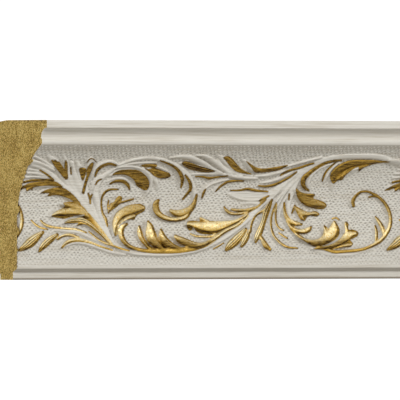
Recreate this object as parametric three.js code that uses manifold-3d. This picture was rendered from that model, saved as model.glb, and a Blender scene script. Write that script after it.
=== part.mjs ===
// A length of press-formed wall moulding in foamed polystyrene: a hollow-fronted section with a
// running scroll of leaves standing proud of its field. X runs along the moulding, -Y is its
// front, +Z is up, and the origin is at the middle of its flat back. Millimetres.
import * as THREE from "three";
import { mergeVertices } from "three/addons/utils/BufferGeometryUtils.js";
import { ConvexGeometry } from "three/addons/geometries/ConvexGeometry.js";
import Module from "manifold-3d";

const wasm = await Module();
wasm.setup();

// Driving dimensions of the section, from its top edge down to its foot.
const length = 292;
const height = 95;
const topDepth = 48; // from the back to the face of the top fillet
const filletHeight = 4.7;
const quirkHeight = 5.7; // hollow under the fillet
const quirkSetback = 0.9; // shelf where the hollow starts behind the fillet's edge
const beadHeight = 4.4;
const beadProud = 1.1;
const fieldDepth = 18; // board thickness where the field is flat
const hollowRadius = 56; // field's hollow, tangent to the flat below it
const flatHeight = 27.5; // straight lower stretch of the field
const stepHeight = 1.9;
const stripHeight = 4.7;
const stripDepth = 14;
const backSlope = { rise: 0.9, run: 8 }; // eased top edge of the back
const footRebate = { depth: 1.2, height: 3.6 };
const scrollLength = 276; // one full turn of the pattern along the moulding

// Levels worked out from them.
const top = height / 2;
const filletFoot = top - filletHeight;
const beadTop = filletFoot - quirkHeight;
const fieldTop = beadTop - beadHeight;
const foot = -top;
const stripTop = foot + stripHeight;
const fieldFoot = stripTop + stepHeight;
const flatTop = fieldFoot + flatHeight;

// Fineness of the round stretches and of the leaves.
const quirkSteps = 5;
const beadSteps = 6;
const hollowSteps = 14;
const crestStep = 8; // length of one facet along a leaf
const minFacets = 3;
const maxTurn = 0.5; // radians that a crest may turn in one facet

// Depth of the field's ground at a level.
function groundDepth(z) {
  const above = THREE.MathUtils.clamp(z - flatTop, 0, hollowRadius);
  return fieldDepth + hollowRadius - Math.sqrt(hollowRadius ** 2 - above ** 2);
}

// Outline of the section: x is the depth in front of the back, y the level.
function sectionShape() {
  const shape = new THREE.Shape();
  const beadDepth = groundDepth(fieldTop);
  const quirkStart = topDepth - quirkSetback;
  shape.moveTo(footRebate.depth, foot);
  shape.lineTo(stripDepth, foot);
  shape.lineTo(stripDepth, stripTop);
  shape.lineTo(fieldDepth, fieldFoot);
  for (let i = 0; i <= hollowSteps; i++) {
    const z = THREE.MathUtils.lerp(flatTop, fieldTop, i / hollowSteps);
    shape.lineTo(groundDepth(z), z);
  }
  for (let i = 1; i < beadSteps; i++) {
    const share = i / beadSteps;
    shape.lineTo(beadDepth + beadProud * Math.sin(Math.PI * share), fieldTop + beadHeight * share);
  }
  for (let i = 0; i <= quirkSteps; i++) {
    const turn = (Math.PI / 2) * (i / quirkSteps);
    const out = (quirkStart - beadDepth) * (1 - Math.cos(turn));
    shape.lineTo(beadDepth + out, beadTop + quirkHeight * Math.sin(turn));
  }
  shape.lineTo(topDepth, filletFoot);
  shape.lineTo(topDepth, top);
  shape.lineTo(backSlope.run, top);
  shape.lineTo(0, top - backSlope.rise);
  shape.lineTo(0, foot + footRebate.height);
  shape.lineTo(footRebate.depth, foot + footRebate.height);
  return shape;
}

// The leaves are drawn in the units of one slanting elevation of the moulding: u to the right,
// v down. Breadths and rises of the leaves are in the same units. What stands d mm in front of
// the back is drawn slant * d mm to the right of its true place, as in any oblique drawing.
const drawing = { across: 368, topRow: 145.5, footRow: 268.2 };
const slant = 0.75;
const runUnit = scrollLength / drawing.across;
const levelUnit = (fieldTop - fieldFoot) / (drawing.footRow - drawing.topRow);
const leafRoot = 0.9; // units to which a leaf is carried into the ground
const tipShare = 0.14; // width left at a leaf's tip

const inUnits = (width, rise) => ({ width: width * runUnit, rise: rise * runUnit });
const stem = (width, rise, ...crest) => ({ ...inUnits(width, rise), crest, tapers: false });
const blade = (width, rise, ...crest) => ({ ...inUnits(width, rise), crest, tapers: true });

const stems = {
  wave: stem(5.1, 2.6, [33, 164], [46, 170], [60, 183], [75, 197], [88, 214], [100, 230], [113, 245],
    [130, 252], [150, 254], [175, 253], [200, 248.5], [225, 236], [248, 218], [268, 197],
    [295, 175], [325, 159], [360, 156.5], [388, 159], [401, 164]),
  waveBand: blade(3.6, 3.2, [138, 249.5], [165, 251.5], [195, 247], [218, 235], [238, 224], [249, 213]),
  firstOuter: stem(3.9, 2.6, [120, 165], [135, 160], [155, 157], [172, 162], [185, 172], [193, 187],
    [195, 201], [187, 215]),
  firstInner: stem(3.9, 2.4, [112, 243], [105, 227], [99, 211], [97, 195], [101, 183], [108, 177]),
  firstCurl: blade(3.9, 3, [189, 214], [180, 218.5], [168, 219], [157, 213], [155, 206], [158, 200]),
  secondInner: stem(4.2, 2.4, [300, 176], [293, 188], [289, 203], [291, 217], [299, 230]),
  secondOuter: stem(3.3, 3, [290, 228], [303, 239], [320, 247.5], [345, 251.5], [365, 249], [380, 241.5],
    [390, 227], [389, 210], [380, 198], [367, 191.5]),
  secondCurl: blade(3.3, 3, [370, 192.5], [361, 192], [354, 198], [353.5, 206]),
};

const crownLeaves = {
  ribTop: blade(2.7, 2.6, [54, 168], [45, 163], [36, 159]),
  ribMiddle: blade(3.9, 3, [52, 179], [45, 175], [36, 172], [25, 173]),
  ribLow: blade(3, 2.6, [53, 182], [40, 179], [25, 178]),
  goldLow: blade(5.4, 3.4, [63, 187], [48, 184], [34, 184.5], [23, 187]),
  goldHigh: blade(6.3, 3.6, [81, 206], [70, 194], [57, 190], [42, 193]),
  fingerFirst: blade(2.2, 2.6, [67, 179], [60, 170], [53, 161]),
  fingerSecond: blade(2.2, 2.6, [68, 178], [64, 169], [59, 160]),
  fingerThird: blade(2.2, 2.6, [69, 178], [67.5, 169], [67, 160]),
  hookFront: blade(4.2, 3, [84, 182], [81, 174], [80, 164]),
  hookBack: blade(3, 3, [84, 193], [87.5, 177], [93, 162]),
  hookTip: blade(2.4, 2.6, [86, 167], [91, 159.5], [97, 163]),
  frondUpper: blade(4.5, 3, [222, 172], [205, 164], [190, 158], [173, 157.5]),
  frondGold: blade(5.1, 3.2, [214, 171], [199, 167.5], [182, 163.5]),
  frondOver: blade(3.6, 2.8, [225, 171], [213, 161], [199, 156]),
  swordLeaf: blade(5.1, 3.4, [251, 174.5], [238, 169], [229, 161], [221, 157]),
  wingLeft: blade(4.2, 3.4, [258, 171], [252, 166], [246, 160]),
  wingRight: blade(4.2, 3.4, [256, 170], [270, 169.5], [287, 165.5]),
  wingTail: blade(2.4, 2.8, [281, 175], [293, 169], [313, 163.5]),
};

const firstScroll = {
  crescent: blade(3.3, 3, [95, 176], [101, 167], [109, 164], [117, 166]),
  leafUpper: blade(5.4, 3.8, [112, 175], [128, 171], [142, 174], [148.5, 182], [145, 191]),
  leafLower: blade(3.9, 3.2, [122, 174.5], [132, 178], [142, 190]),
  leafRim: blade(3, 3, [117, 168], [135, 167], [150, 177], [147, 194]),
  smallCrescent: blade(3.6, 3, [110, 184], [119, 180.5], [127, 183], [129, 190]),
  thread: blade(2.4, 2.8, [107, 225], [102.5, 213], [101.5, 202], [106, 191.5], [117, 189.5]),
  bud: blade(4.5, 3.2, [109, 211], [113, 204], [120, 197]),
  budTail: blade(2.4, 2.6, [118, 203.5], [125, 201], [133, 199]),
  heartUpper: blade(5.4, 3.8, [115.5, 236], [114.5, 223], [123, 210], [134, 206], [145, 207]),
  heartLower: blade(4.5, 3.4, [118, 231], [121, 220], [131, 215.5], [142, 212]),
  hookLarge: blade(3.6, 3.2, [150, 250.5], [133, 247.5], [122, 239], [120, 230], [127, 224.5]),
  hookSmall: blade(2.7, 3, [156, 250], [145, 244.5], [139.5, 235], [139, 226]),
  lobeTall: blade(6, 3.6, [163, 250], [153, 240], [149.5, 231], [148, 221]),
  lobeShort: blade(5.1, 3.4, [179, 248], [168, 244.5], [162.5, 238], [161, 229]),
  innerLeaf: blade(4.8, 3.4, [196, 196], [191, 208], [182, 212], [170, 211]),
  outerLash: blade(3, 3, [160, 161], [173, 166.5], [181, 176], [180.5, 187]),
  outerFin: blade(3, 3, [185, 176], [190, 184], [183, 198]),
  mask: blade(6, 3.2, [144, 168], [156, 173.5], [170, 175]),
  maskRim: blade(2.7, 3, [141, 165.5], [157, 166.5], [171, 176]),
};

const middleLeaves = {
  lowerLeaf: blade(4.5, 3, [174, 236], [189, 243.5], [203, 244], [212, 239]),
  bannerUpper: blade(5.1, 4, [247, 214.5], [232, 221], [212, 223], [187, 222]),
  bannerLower: blade(6, 3.6, [246, 217], [230, 226], [210, 231], [190, 227]),
  bannerSpike: blade(2.7, 3.4, [212, 222], [200, 217]),
  bannerThread: blade(2.1, 2.6, [190, 234], [203, 236.5], [215, 234]),
  threadUpper: blade(2.4, 2.8, [196, 176.5], [210, 178], [227, 176]),
  twig: blade(3.3, 2.8, [201, 198], [205, 189], [218, 181.5], [245, 178], [258, 178.5]),
  twigLower: blade(2.7, 2.8, [215, 191], [226, 182.5], [243, 181]),
  barb: blade(3, 3, [258, 186], [275, 184.5], [290, 176.5]),
  ridge: blade(2.4, 2.8, [231, 190.5], [248, 190], [266, 191.5]),
  pod: blade(6.9, 3, [229, 193.5], [246, 196], [273, 192]),
  podTip: blade(2.7, 3, [257, 201], [266, 197]),
  cupUpper: blade(3.3, 2.8, [231, 210], [243, 210.5], [255, 207.5]),
  cupLower: blade(3, 3, [224, 208], [236, 214], [249, 211.5], [258, 206]),
  quillLeft: blade(5.1, 3, [244, 230], [235, 239], [225, 248]),
  quillRight: blade(4.5, 3, [249, 231], [245, 239], [240, 246.5]),
  quillEdge: blade(2.7, 3.2, [250, 232], [252, 221], [259, 213], [266, 208], [271, 201]),
  plume: blade(6, 3.6, [271, 201], [265, 214], [260.5, 227], [255, 241]),
  plumeTip: blade(3.3, 3, [262, 239], [264, 245], [269, 250]),
  plumeThread: blade(2.7, 3, [276, 204], [271, 216], [272.5, 234], [281, 244], [297, 248]),
  plumeSpur: blade(2.4, 2.8, [275.5, 206], [275.5, 222], [283, 230]),
  veinFirst: blade(2.7, 3, [268, 206], [275, 195], [285, 184], [297, 175]),
  veinSecond: blade(2.7, 3, [271, 216], [276, 204], [284, 192], [293, 183]),
};

const secondScroll = {
  hook: blade(3.3, 3, [284, 204], [286, 217], [292, 223], [301, 224.5]),
  hookLower: blade(3.9, 3.2, [286, 221], [293, 229], [303, 232], [311, 227.5]),
  leafBase: blade(6, 3.6, [298, 236], [311, 242], [325, 239.5], [336, 234]),
  leafSpike: blade(3.9, 3.6, [326, 238], [325.5, 232], [324.5, 225]),
  leafPoint: blade(5.4, 3.8, [331, 239], [335, 231], [334, 220.5]),
  leafFoot: blade(3.9, 3.2, [314, 247], [328, 245.5], [339, 240], [345, 231], [345, 222]),
  flame: blade(4.2, 3.4, [334, 249.5], [346, 243], [349, 234], [359, 234.5]),
  flameFoot: blade(3.3, 3, [338, 249], [346, 246], [353, 243.5]),
  lashLeft: blade(3, 3, [375, 217], [381, 224], [385, 236]),
  lashRight: blade(2.7, 3, [375, 226], [377, 233], [376, 243]),
  palmUpper: blade(6.9, 3.6, [296, 189], [303, 197], [314, 201], [326, 204]),
  palmLower: blade(3.9, 3.2, [300, 201], [311, 206], [324, 207]),
  palmTip: blade(3, 3.2, [299, 191], [306, 195], [315, 195]),
  budLeaf: blade(5.1, 3.4, [294, 207], [302, 214], [311, 214], [320, 214.5]),
  budTail: blade(2.7, 3, [298, 214], [303, 220], [309, 217]),
  crest: blade(3.6, 3, [308, 189.5], [302, 183], [306, 175], [318, 166.5], [341, 160]),
  crestInner: blade(2.4, 2.8, [336, 162], [327, 170], [322, 181]),
  crownOuter: blade(5.1, 3.8, [334, 182.5], [332.5, 173], [342, 165], [358, 161.5], [389, 161.5]),
  crownInner: blade(4.5, 3.2, [339, 179], [349, 170], [363, 166], [379, 162.5]),
};

const lowerLeaves = {
  quillFirst: blade(4.8, 3, [44, 232], [34, 239], [20, 250]),
  quillSecond: blade(4.5, 3, [44, 234], [37, 242], [29, 250]),
  quillThird: blade(4.2, 3, [57, 234.5], [48, 241], [40, 251]),
  quillFourth: blade(4.2, 3, [61, 237], [54, 243], [45, 250]),
  brow: blade(3, 3, [59, 238], [69, 234.5], [78, 236.5]),
  runner: blade(3, 3, [112, 249.5], [97, 244], [78, 239.5], [62, 246.5]),
  threadLong: blade(2.4, 2.6, [84, 231.5], [66, 228], [51, 226.5], [42, 221]),
  threadShort: blade(2.4, 2.6, [47, 228.5], [40, 226], [32, 220]),
  fanUpper: blade(5.1, 3.4, [89, 215], [79, 205.5], [64, 204]),
  fanLower: blade(5.7, 3.4, [86, 214], [70, 211], [52, 216]),
  sprayUpper: blade(5.4, 3.6, [113, 245], [101, 232], [88, 221], [77, 218.5], [65, 222.5]),
  sprayLower: blade(3, 3, [92, 226], [84, 223], [76, 224.5]),
};

// A crest's three-dimensional path over the ground, with its breadth and rise at each station.
function stations({ width, rise, crest, tapers }, shift) {
  const reach = (depth) => shift - length / 2 - slant * depth;
  const points = crest.map(([u, v]) => {
    const z = fieldFoot + (drawing.footRow - v) * levelUnit;
    return new THREE.Vector3(reach(groundDepth(z) + rise) + u * runUnit, 0, z);
  });
  const curve = new THREE.CatmullRomCurve3(points, false, "centripetal");
  const turn = points.slice(2).reduce((sum, point, i) => {
    const before = points[i + 1].clone().sub(points[i]);
    return sum + before.angleTo(point.clone().sub(points[i + 1]));
  }, 0);
  const count = Math.max(minFacets, Math.ceil(curve.getLength() / crestStep), Math.ceil(turn / maxTurn));
  return Array.from({ length: count + 1 }, (_, i) => {
    const share = i / count;
    const swell = Math.sin(Math.PI * Math.min(0.22 + 0.85 * share, 1));
    const breadth = tapers ? Math.max(tipShare, swell) : 1;
    const along = curve.getTangentAt(share);
    return {
      at: curve.getPointAt(share),
      across: new THREE.Vector3(-along.z, 0, along.x).multiplyScalar((width * breadth) / 2),
      rise: rise * (tapers ? Math.max(0.45, Math.sqrt(breadth)) : 1),
    };
  });
}

// The crest and the two sunk feet of a leaf at one station.
function corners({ at, across, rise }) {
  const level = (point, lift) => point.clone().setY(-(groundDepth(point.z) + lift));
  const left = level(at.clone().add(across), -leafRoot * runUnit);
  const right = level(at.clone().sub(across), -leafRoot * runUnit);
  return [left, right, level(at, rise)];
}

function solid(geometry) {
  const bare = new THREE.BufferGeometry();
  bare.setAttribute("position", geometry.getAttribute("position"));
  if (geometry.index) bare.setIndex(geometry.index);
  const merged = mergeVertices(bare, 1e-4);
  return new wasm.Manifold(new wasm.Mesh({
    numProp: 3,
    vertProperties: merged.getAttribute("position").array,
    triVerts: new Uint32Array(merged.index.array),
  }));
}

// One leaf as a chain of facets between its stations, cut where the moulding ends.
function leafSolid(leaf, shift) {
  const line = stations(leaf, shift);
  const seen = line.some(({ at }) => Math.abs(at.x) < length / 2 + leaf.width);
  if (!seen) return null;
  return line.slice(1).map((station, i) => {
    return solid(new ConvexGeometry([...corners(line[i]), ...corners(station)]));
  }).reduce((joined, facet) => joined.add(facet));
}

function mouldingSolid() {
  const bar = new THREE.ExtrudeGeometry(sectionShape(), { depth: length, bevelEnabled: false });
  const depthToY = new THREE.Matrix4().makeBasis(
    new THREE.Vector3(0, -1, 0),
    new THREE.Vector3(0, 0, 1),
    new THREE.Vector3(-1, 0, 0),
  );
  bar.translate(0, 0, -length / 2).applyMatrix4(depthToY);
  let body = solid(bar);
  const groups = [stems, crownLeaves, firstScroll, middleLeaves, secondScroll, lowerLeaves];
  const turns = Math.ceil(length / scrollLength);
  for (let turn = -1; turn <= turns; turn++) {
    for (const leaf of groups.flatMap(Object.values)) {
      const made = leafSolid(leaf, turn * scrollLength);
      if (made) body = body.add(made);
    }
  }
  const span = new THREE.BoxGeometry(length, 4 * topDepth, 2 * height);
  return body.intersect(solid(span));
}

function geometryOf(manifold) {
  const mesh = manifold.getMesh();
  const geometry = new THREE.BufferGeometry();
  geometry.setAttribute("position", new THREE.BufferAttribute(mesh.vertProperties, 3));
  geometry.setIndex(new THREE.BufferAttribute(mesh.triVerts, 1));
  geometry.computeVertexNormals();
  return geometry;
}

const ivoryPaint = new THREE.MeshStandardMaterial({ color: "#cfccc1", roughness: 0.55, metalness: 0 });
const moulding = new THREE.Mesh(geometryOf(mouldingSolid()), ivoryPaint);
moulding.name = "moulding";

const part = new THREE.Group();
part.add(moulding);
export default part;
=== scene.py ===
import math

import bmesh
import bpy
import numpy as np
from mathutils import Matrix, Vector


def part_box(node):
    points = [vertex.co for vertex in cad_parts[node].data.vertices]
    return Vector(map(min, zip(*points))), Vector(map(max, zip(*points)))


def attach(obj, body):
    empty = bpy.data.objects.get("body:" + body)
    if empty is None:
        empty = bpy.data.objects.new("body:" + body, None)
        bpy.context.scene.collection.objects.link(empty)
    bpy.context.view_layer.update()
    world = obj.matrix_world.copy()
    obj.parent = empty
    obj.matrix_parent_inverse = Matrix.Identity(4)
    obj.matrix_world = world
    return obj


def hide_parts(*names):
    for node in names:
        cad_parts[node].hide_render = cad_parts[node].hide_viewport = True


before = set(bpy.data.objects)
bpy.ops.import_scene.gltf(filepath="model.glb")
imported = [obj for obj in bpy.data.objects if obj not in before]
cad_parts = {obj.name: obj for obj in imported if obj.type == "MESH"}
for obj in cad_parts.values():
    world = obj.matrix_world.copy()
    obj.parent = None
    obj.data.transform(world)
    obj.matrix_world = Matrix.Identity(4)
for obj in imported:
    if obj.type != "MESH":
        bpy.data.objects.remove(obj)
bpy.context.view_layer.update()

mm = 0.001
print("frame loaded")

# The section repeats the CAD part's sizes, in millimetres. Its length and height come from the frame.
low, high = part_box("moulding")
section = {
    "length": (high[0] - low[0]) / mm,
    "height": (high[2] - low[2]) / mm,
    "topDepth": (high[1] - low[1]) / mm,
    "filletHeight": 4.7,
    "quirkHeight": 5.7,
    "quirkSetback": 0.9,
    "quirkSteps": 7,
    "beadHeight": 4.4,
    "beadProud": 1.1,
    "beadSteps": 8,
    "fieldDepth": 18,
    "hollowRadius": 56,
    "flatHeight": 27.5,
    "stepHeight": 1.9,
    "stripHeight": 4.7,
    "stripDepth": 14,
    "backRise": 0.9,
    "backRun": 8,
    "rebateDepth": 1.2,
    "rebateHeight": 3.6,
    "footRound": 0.9,  # radii of the eased edges, from the foot up
    "stepRound": 0.4,
    "fieldRound": 0.35,
    "shelfRound": 0.3,
    "topRound": 0.6,
    "plainFoot": 1.1,  # height of the field's foot that has no carving
}
top = section["height"] / 2
filletFoot = top - section["filletHeight"]
beadTop = filletFoot - section["quirkHeight"]
fieldTop = beadTop - section["beadHeight"]
foot = -top
stripTop = foot + section["stripHeight"]
fieldFoot = stripTop + section["stepHeight"]
flatTop = fieldFoot + section["flatHeight"]

# The carving is drawn in units of one slanting elevation: u to the right, v down. What stands
# one millimetre further forward is drawn one unit further right.
drawing = {"across": 368, "topRow": 145.5, "footRow": 268.2, "scrollLength": 276}
runUnit = drawing["scrollLength"] / drawing["across"]
levelUnit = (fieldTop - fieldFoot) / (drawing["footRow"] - drawing["topRow"])


def leaf(rise, points, gilded=0, hollow=False, ribs=0):
    # rise in mm, points as (u, v, half width), gilded as the share of the half width that is gold;
    # a hollow leaf has raised rims, the rest are crowned, and some have ribs along them
    return {"rise": rise, "points": points, "gilded": gilded, "hollow": hollow, "ribs": ribs}


stems = {
    "wave": leaf(1.6, [(33, 164, 2), (44, 169, 2.6), (52, 175, 3.2), (60, 183, 3.4), (68, 190, 3.8),
        (77, 197, 4.6), (85, 204, 4.6), (93, 214, 4), (103, 230, 3.2), (114, 244, 2.8), (130, 252, 2.5),
        (150, 254.5, 2.2), (175, 254, 2.4), (200, 249.5, 2.4), (225, 237.5, 2.6), (246, 221, 3),
        (258, 208, 3.4), (268, 198, 4), (280, 188, 5), (295, 176, 6), (310, 167, 4.5), (325, 160, 3.5),
        (340, 157, 3), (360, 156.3, 3), (380, 157, 3), (392, 161, 3), (401, 164, 2)]),
    "trunk": leaf(2.6, [(138, 249.8, 1.3), (150, 250.8, 2.2), (165, 250.8, 2.9), (180, 250, 3.1),
        (195, 247.6, 2.9), (205, 244.4, 2.5), (212, 240.3, 2.2), (218, 235.8, 2), (225, 231, 1.8),
        (238, 224.5, 1.6), (247, 216, 1.2)], gilded=0.85),
    "firstOuter": leaf(1.8, [(118, 165.5, 1.6), (127, 162.3, 1.9), (135, 160, 2), (147, 158.4, 2),
        (157, 159, 2.2), (167, 162.3, 2.8), (177, 167.6, 3.6), (186, 175.4, 3.9), (192, 184, 3.2),
        (195, 194, 2.6), (195, 202, 2.2), (192, 209, 2), (187, 215, 1.6)]),
    "firstSecond": leaf(1.9, [(118, 167, 1.2), (130, 164.3, 1.6), (145, 163, 1.6), (157, 162.5, 1.4)]),
    "firstInner": leaf(1.6, [(114, 245, 2), (107, 230, 2.8), (101, 214, 3), (98, 202, 3), (97, 191, 3),
        (100, 182, 2.8), (106, 175, 2.6), (114, 170, 2)]),
    "secondInner": leaf(1.6, [(301, 173, 3), (295, 183, 4.2), (291, 194, 4), (288.5, 206, 2.6),
        (290, 216, 2), (296, 227, 1.6)]),
    "secondOuter": leaf(2.2, [(290, 228, 1.2), (296, 234, 1.4), (303, 239, 1.5), (311, 243.5, 1.6),
        (320, 247.3, 1.6), (328, 250, 1.8), (335, 252, 1.8), (345, 251.5, 1.6), (355, 250.8, 1.6),
        (365, 249, 1.6), (373, 245.5, 1.8), (380, 241.5, 2), (386, 235, 2.1), (390, 227, 2.1),
        (391, 219, 1.9), (389, 210, 1.8), (385, 203, 1.6), (380, 198, 1.5), (374, 194, 1.3),
        (367, 191.5, 1.1), (361, 192, 1.2), (356, 196, 1.5), (353, 201, 1.9),
        (353.5, 206, 1.5)], gilded=0.85),
    "secondUnder": leaf(0.8, [(298, 238, 1.2), (310, 247, 2), (325, 253, 2.2), (340, 255, 2),
        (358, 253.5, 1.6), (372, 249, 1.2)]),
    "secondTwig": leaf(1.6, [(369, 197, 0.8), (375, 196.3, 1), (381, 198.5, 1)], gilded=0.8),
}

crownLeaves = {
    "ribRoot": leaf(2.6, [(22, 160.5, 2.6), (34, 161.5, 2.4), (46, 165.5, 2), (56, 171, 1.6)]),
    "ribTop": leaf(2, [(37, 157, 1), (45, 161, 1.5), (55, 168, 1.8)]),
    "ribSecond": leaf(2, [(33, 166, 1), (42, 168.5, 1.7), (53, 174, 1.8)]),
    "ribThird": leaf(2, [(32, 169.5, 0.9), (41, 171.5, 1.6), (52, 176.5, 1.8)]),
    "ribFourth": leaf(2.2, [(28.5, 173.5, 0.9), (36, 173.5, 1.6), (45, 175.5, 1.8), (53, 179, 1.6)]),
    "ribFifth": leaf(2, [(26.5, 177.8, 0.9), (35, 177, 1.4), (46, 178.2, 1.5), (55, 181, 1.4)]),
    "ribThread": leaf(2.3, [(41, 170.5, 0.6), (48, 175, 0.8), (54, 180, 0.7)], gilded=1),
    "lowThread": leaf(2.3, [(25, 182.3, 0.9), (33, 180.7, 1), (42, 180.2, 0.9),
        (54, 180.3, 0.9)], gilded=1),
    "goldLow": leaf(2.4, [(22, 187.5, 1), (30, 185.3, 2), (40, 184, 2.6), (50, 183.3, 2.6),
        (57, 184.3, 2.2), (63, 187.8, 1.2)], hollow=True),
    "goldLowTip": leaf(2.1, [(27.5, 191, 0.9), (34, 187.3, 1.6), (46, 186.3, 1.6), (56, 186.3, 1.2)]),
    "goldHigh": leaf(2.7, [(41.5, 193.5, 1), (46, 191.3, 1.8), (53, 190.7, 2.8), (60, 191.7, 3.2),
        (66, 194.2, 3), (72, 198, 2.6), (77, 202, 2), (81, 206.5, 1.2)], hollow=True),
    "goldHighTip": leaf(2.3, [(47.5, 195.7, 0.8), (53, 193.8, 1.5), (61, 194.8, 1.6)]),
    "leafFirst": leaf(1.9, [(50.5, 156.3, 1.2), (55.5, 161, 3), (60.5, 168, 3.6), (66, 176.5, 3.4),
        (72, 186, 2.6), (80, 196, 2)], hollow=True),
    "leafSecond": leaf(2, [(66.3, 156.8, 1.2), (67.8, 163, 2.4), (69, 171, 2.8), (72.5, 181, 2.6),
        (80, 193, 2)], hollow=True),
    "leafStalk": leaf(1.8, [(73.5, 163, 1.8), (75, 172, 2.6), (78.5, 183, 3), (84, 194, 2.8),
        (92, 206, 2.4)]),
    "leafThird": leaf(1.9, [(79, 162, 1.2), (81, 168, 2.6), (82.5, 176, 3), (84, 185, 2.4)], hollow=True),
    "leafFourth": leaf(2, [(92.5, 157.5, 1.4), (92, 164, 3), (89.5, 172, 3), (87, 182, 2.6), (88, 194, 2.8),
        (93, 206, 2.6), (101, 224, 2)], hollow=True),
    "fingerFirst": leaf(2.2, [(53, 161, 0.9), (60, 170.5, 1.3), (66.3, 178.7, 1)], gilded=0.8),
    "fingerSecond": leaf(2.2, [(56, 161, 0.8), (61.3, 169, 1.2), (66.3, 177, 1)], gilded=0.8),
    "fingerThird": leaf(2.2, [(59.5, 162.5, 0.7), (63.3, 169, 1.1), (66.6, 176.5, 1)], gilded=0.8),
    "fingerFourth": leaf(2.2, [(66.4, 161.5, 0.8), (66.9, 170, 1.3), (67.3, 178.5, 1)], gilded=0.75),
    "fingerMark": leaf(1.9, [(71.3, 168, 0.7), (71.5, 174, 0.7)], gilded=0.8),
    "patchRim": leaf(2.1, [(80.5, 166, 0.9), (84, 169.5, 1), (88, 169, 1)]),
    "curlTip": leaf(2.2, [(87.5, 162.5, 0.8), (90.3, 159.3, 1), (93.3, 159.3, 1),
        (96.5, 162.5, 0.8)], gilded=0.3),
    "yMark": leaf(2.2, [(88.3, 193.5, 0.8), (90, 198.3, 1.1), (90.5, 203.5, 0.8)], gilded=0.8),
    "yMarkArm": leaf(2.2, [(92.3, 194.3, 0.7), (90.2, 198.5, 0.9)], gilded=0.8),
    "frondOver": leaf(2.4, [(171, 158, 0.9), (181, 156.8, 2), (190, 157.6, 2.6), (198, 160.5, 2.6),
        (206, 164.5, 2.4), (214, 169.3, 1.8), (222, 173, 1.6)]),
    "frondGold": leaf(2.1, [(181, 163, 1.4), (187, 164.8, 2.6), (194, 166.6, 3), (203, 168.7, 2.8),
        (213, 171.4, 1.6)], ribs=3),
    "frondTop": leaf(2.2, [(198, 155.6, 0.9), (204, 156, 2), (210, 158.7, 2.4), (217, 163.6, 2.4),
        (225, 170.4, 2), (232, 175, 1.6)]),
    "sword": leaf(2.5, [(220, 156, 1.2), (224.3, 159, 2.8), (229, 162.8, 3.4), (235, 168, 3.4),
        (243, 172.3, 2.6), (253, 176, 1.4)], hollow=True),
    "swordBack": leaf(1.8, [(218, 159.5, 1.2), (222, 166, 2), (230, 171.5, 2), (242, 176.3, 1.8)]),
    "wingLeft": leaf(2.5, [(245, 160, 0.9), (249.3, 164.5, 2.2), (254, 169, 2.8),
        (259, 172, 2)], hollow=True),
    "wingRight": leaf(2.5, [(254, 170, 2.2), (262, 170.3, 2.4), (270, 169.8, 2.2), (279, 168, 1.7),
        (289, 165, 0.9)], hollow=True),
    "wingTail": leaf(2.3, [(280, 175.3, 0.8), (284, 172.6, 1.2), (290, 170.2, 1.4), (300, 167.4, 1.4),
        (306, 165.3, 1.3), (313, 163.3, 1)], gilded=0.7),
    "wingBand": leaf(2, [(256, 176, 1.4), (266, 175.5, 2), (276, 173.3, 2.2), (286, 171, 2),
        (297, 168.5, 2)]),
    "topBand": leaf(2.2, [(286, 167, 1.2), (297, 163.8, 1.6), (309, 160.5, 1.8), (322, 157.3, 1.8)]),
}

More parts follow.
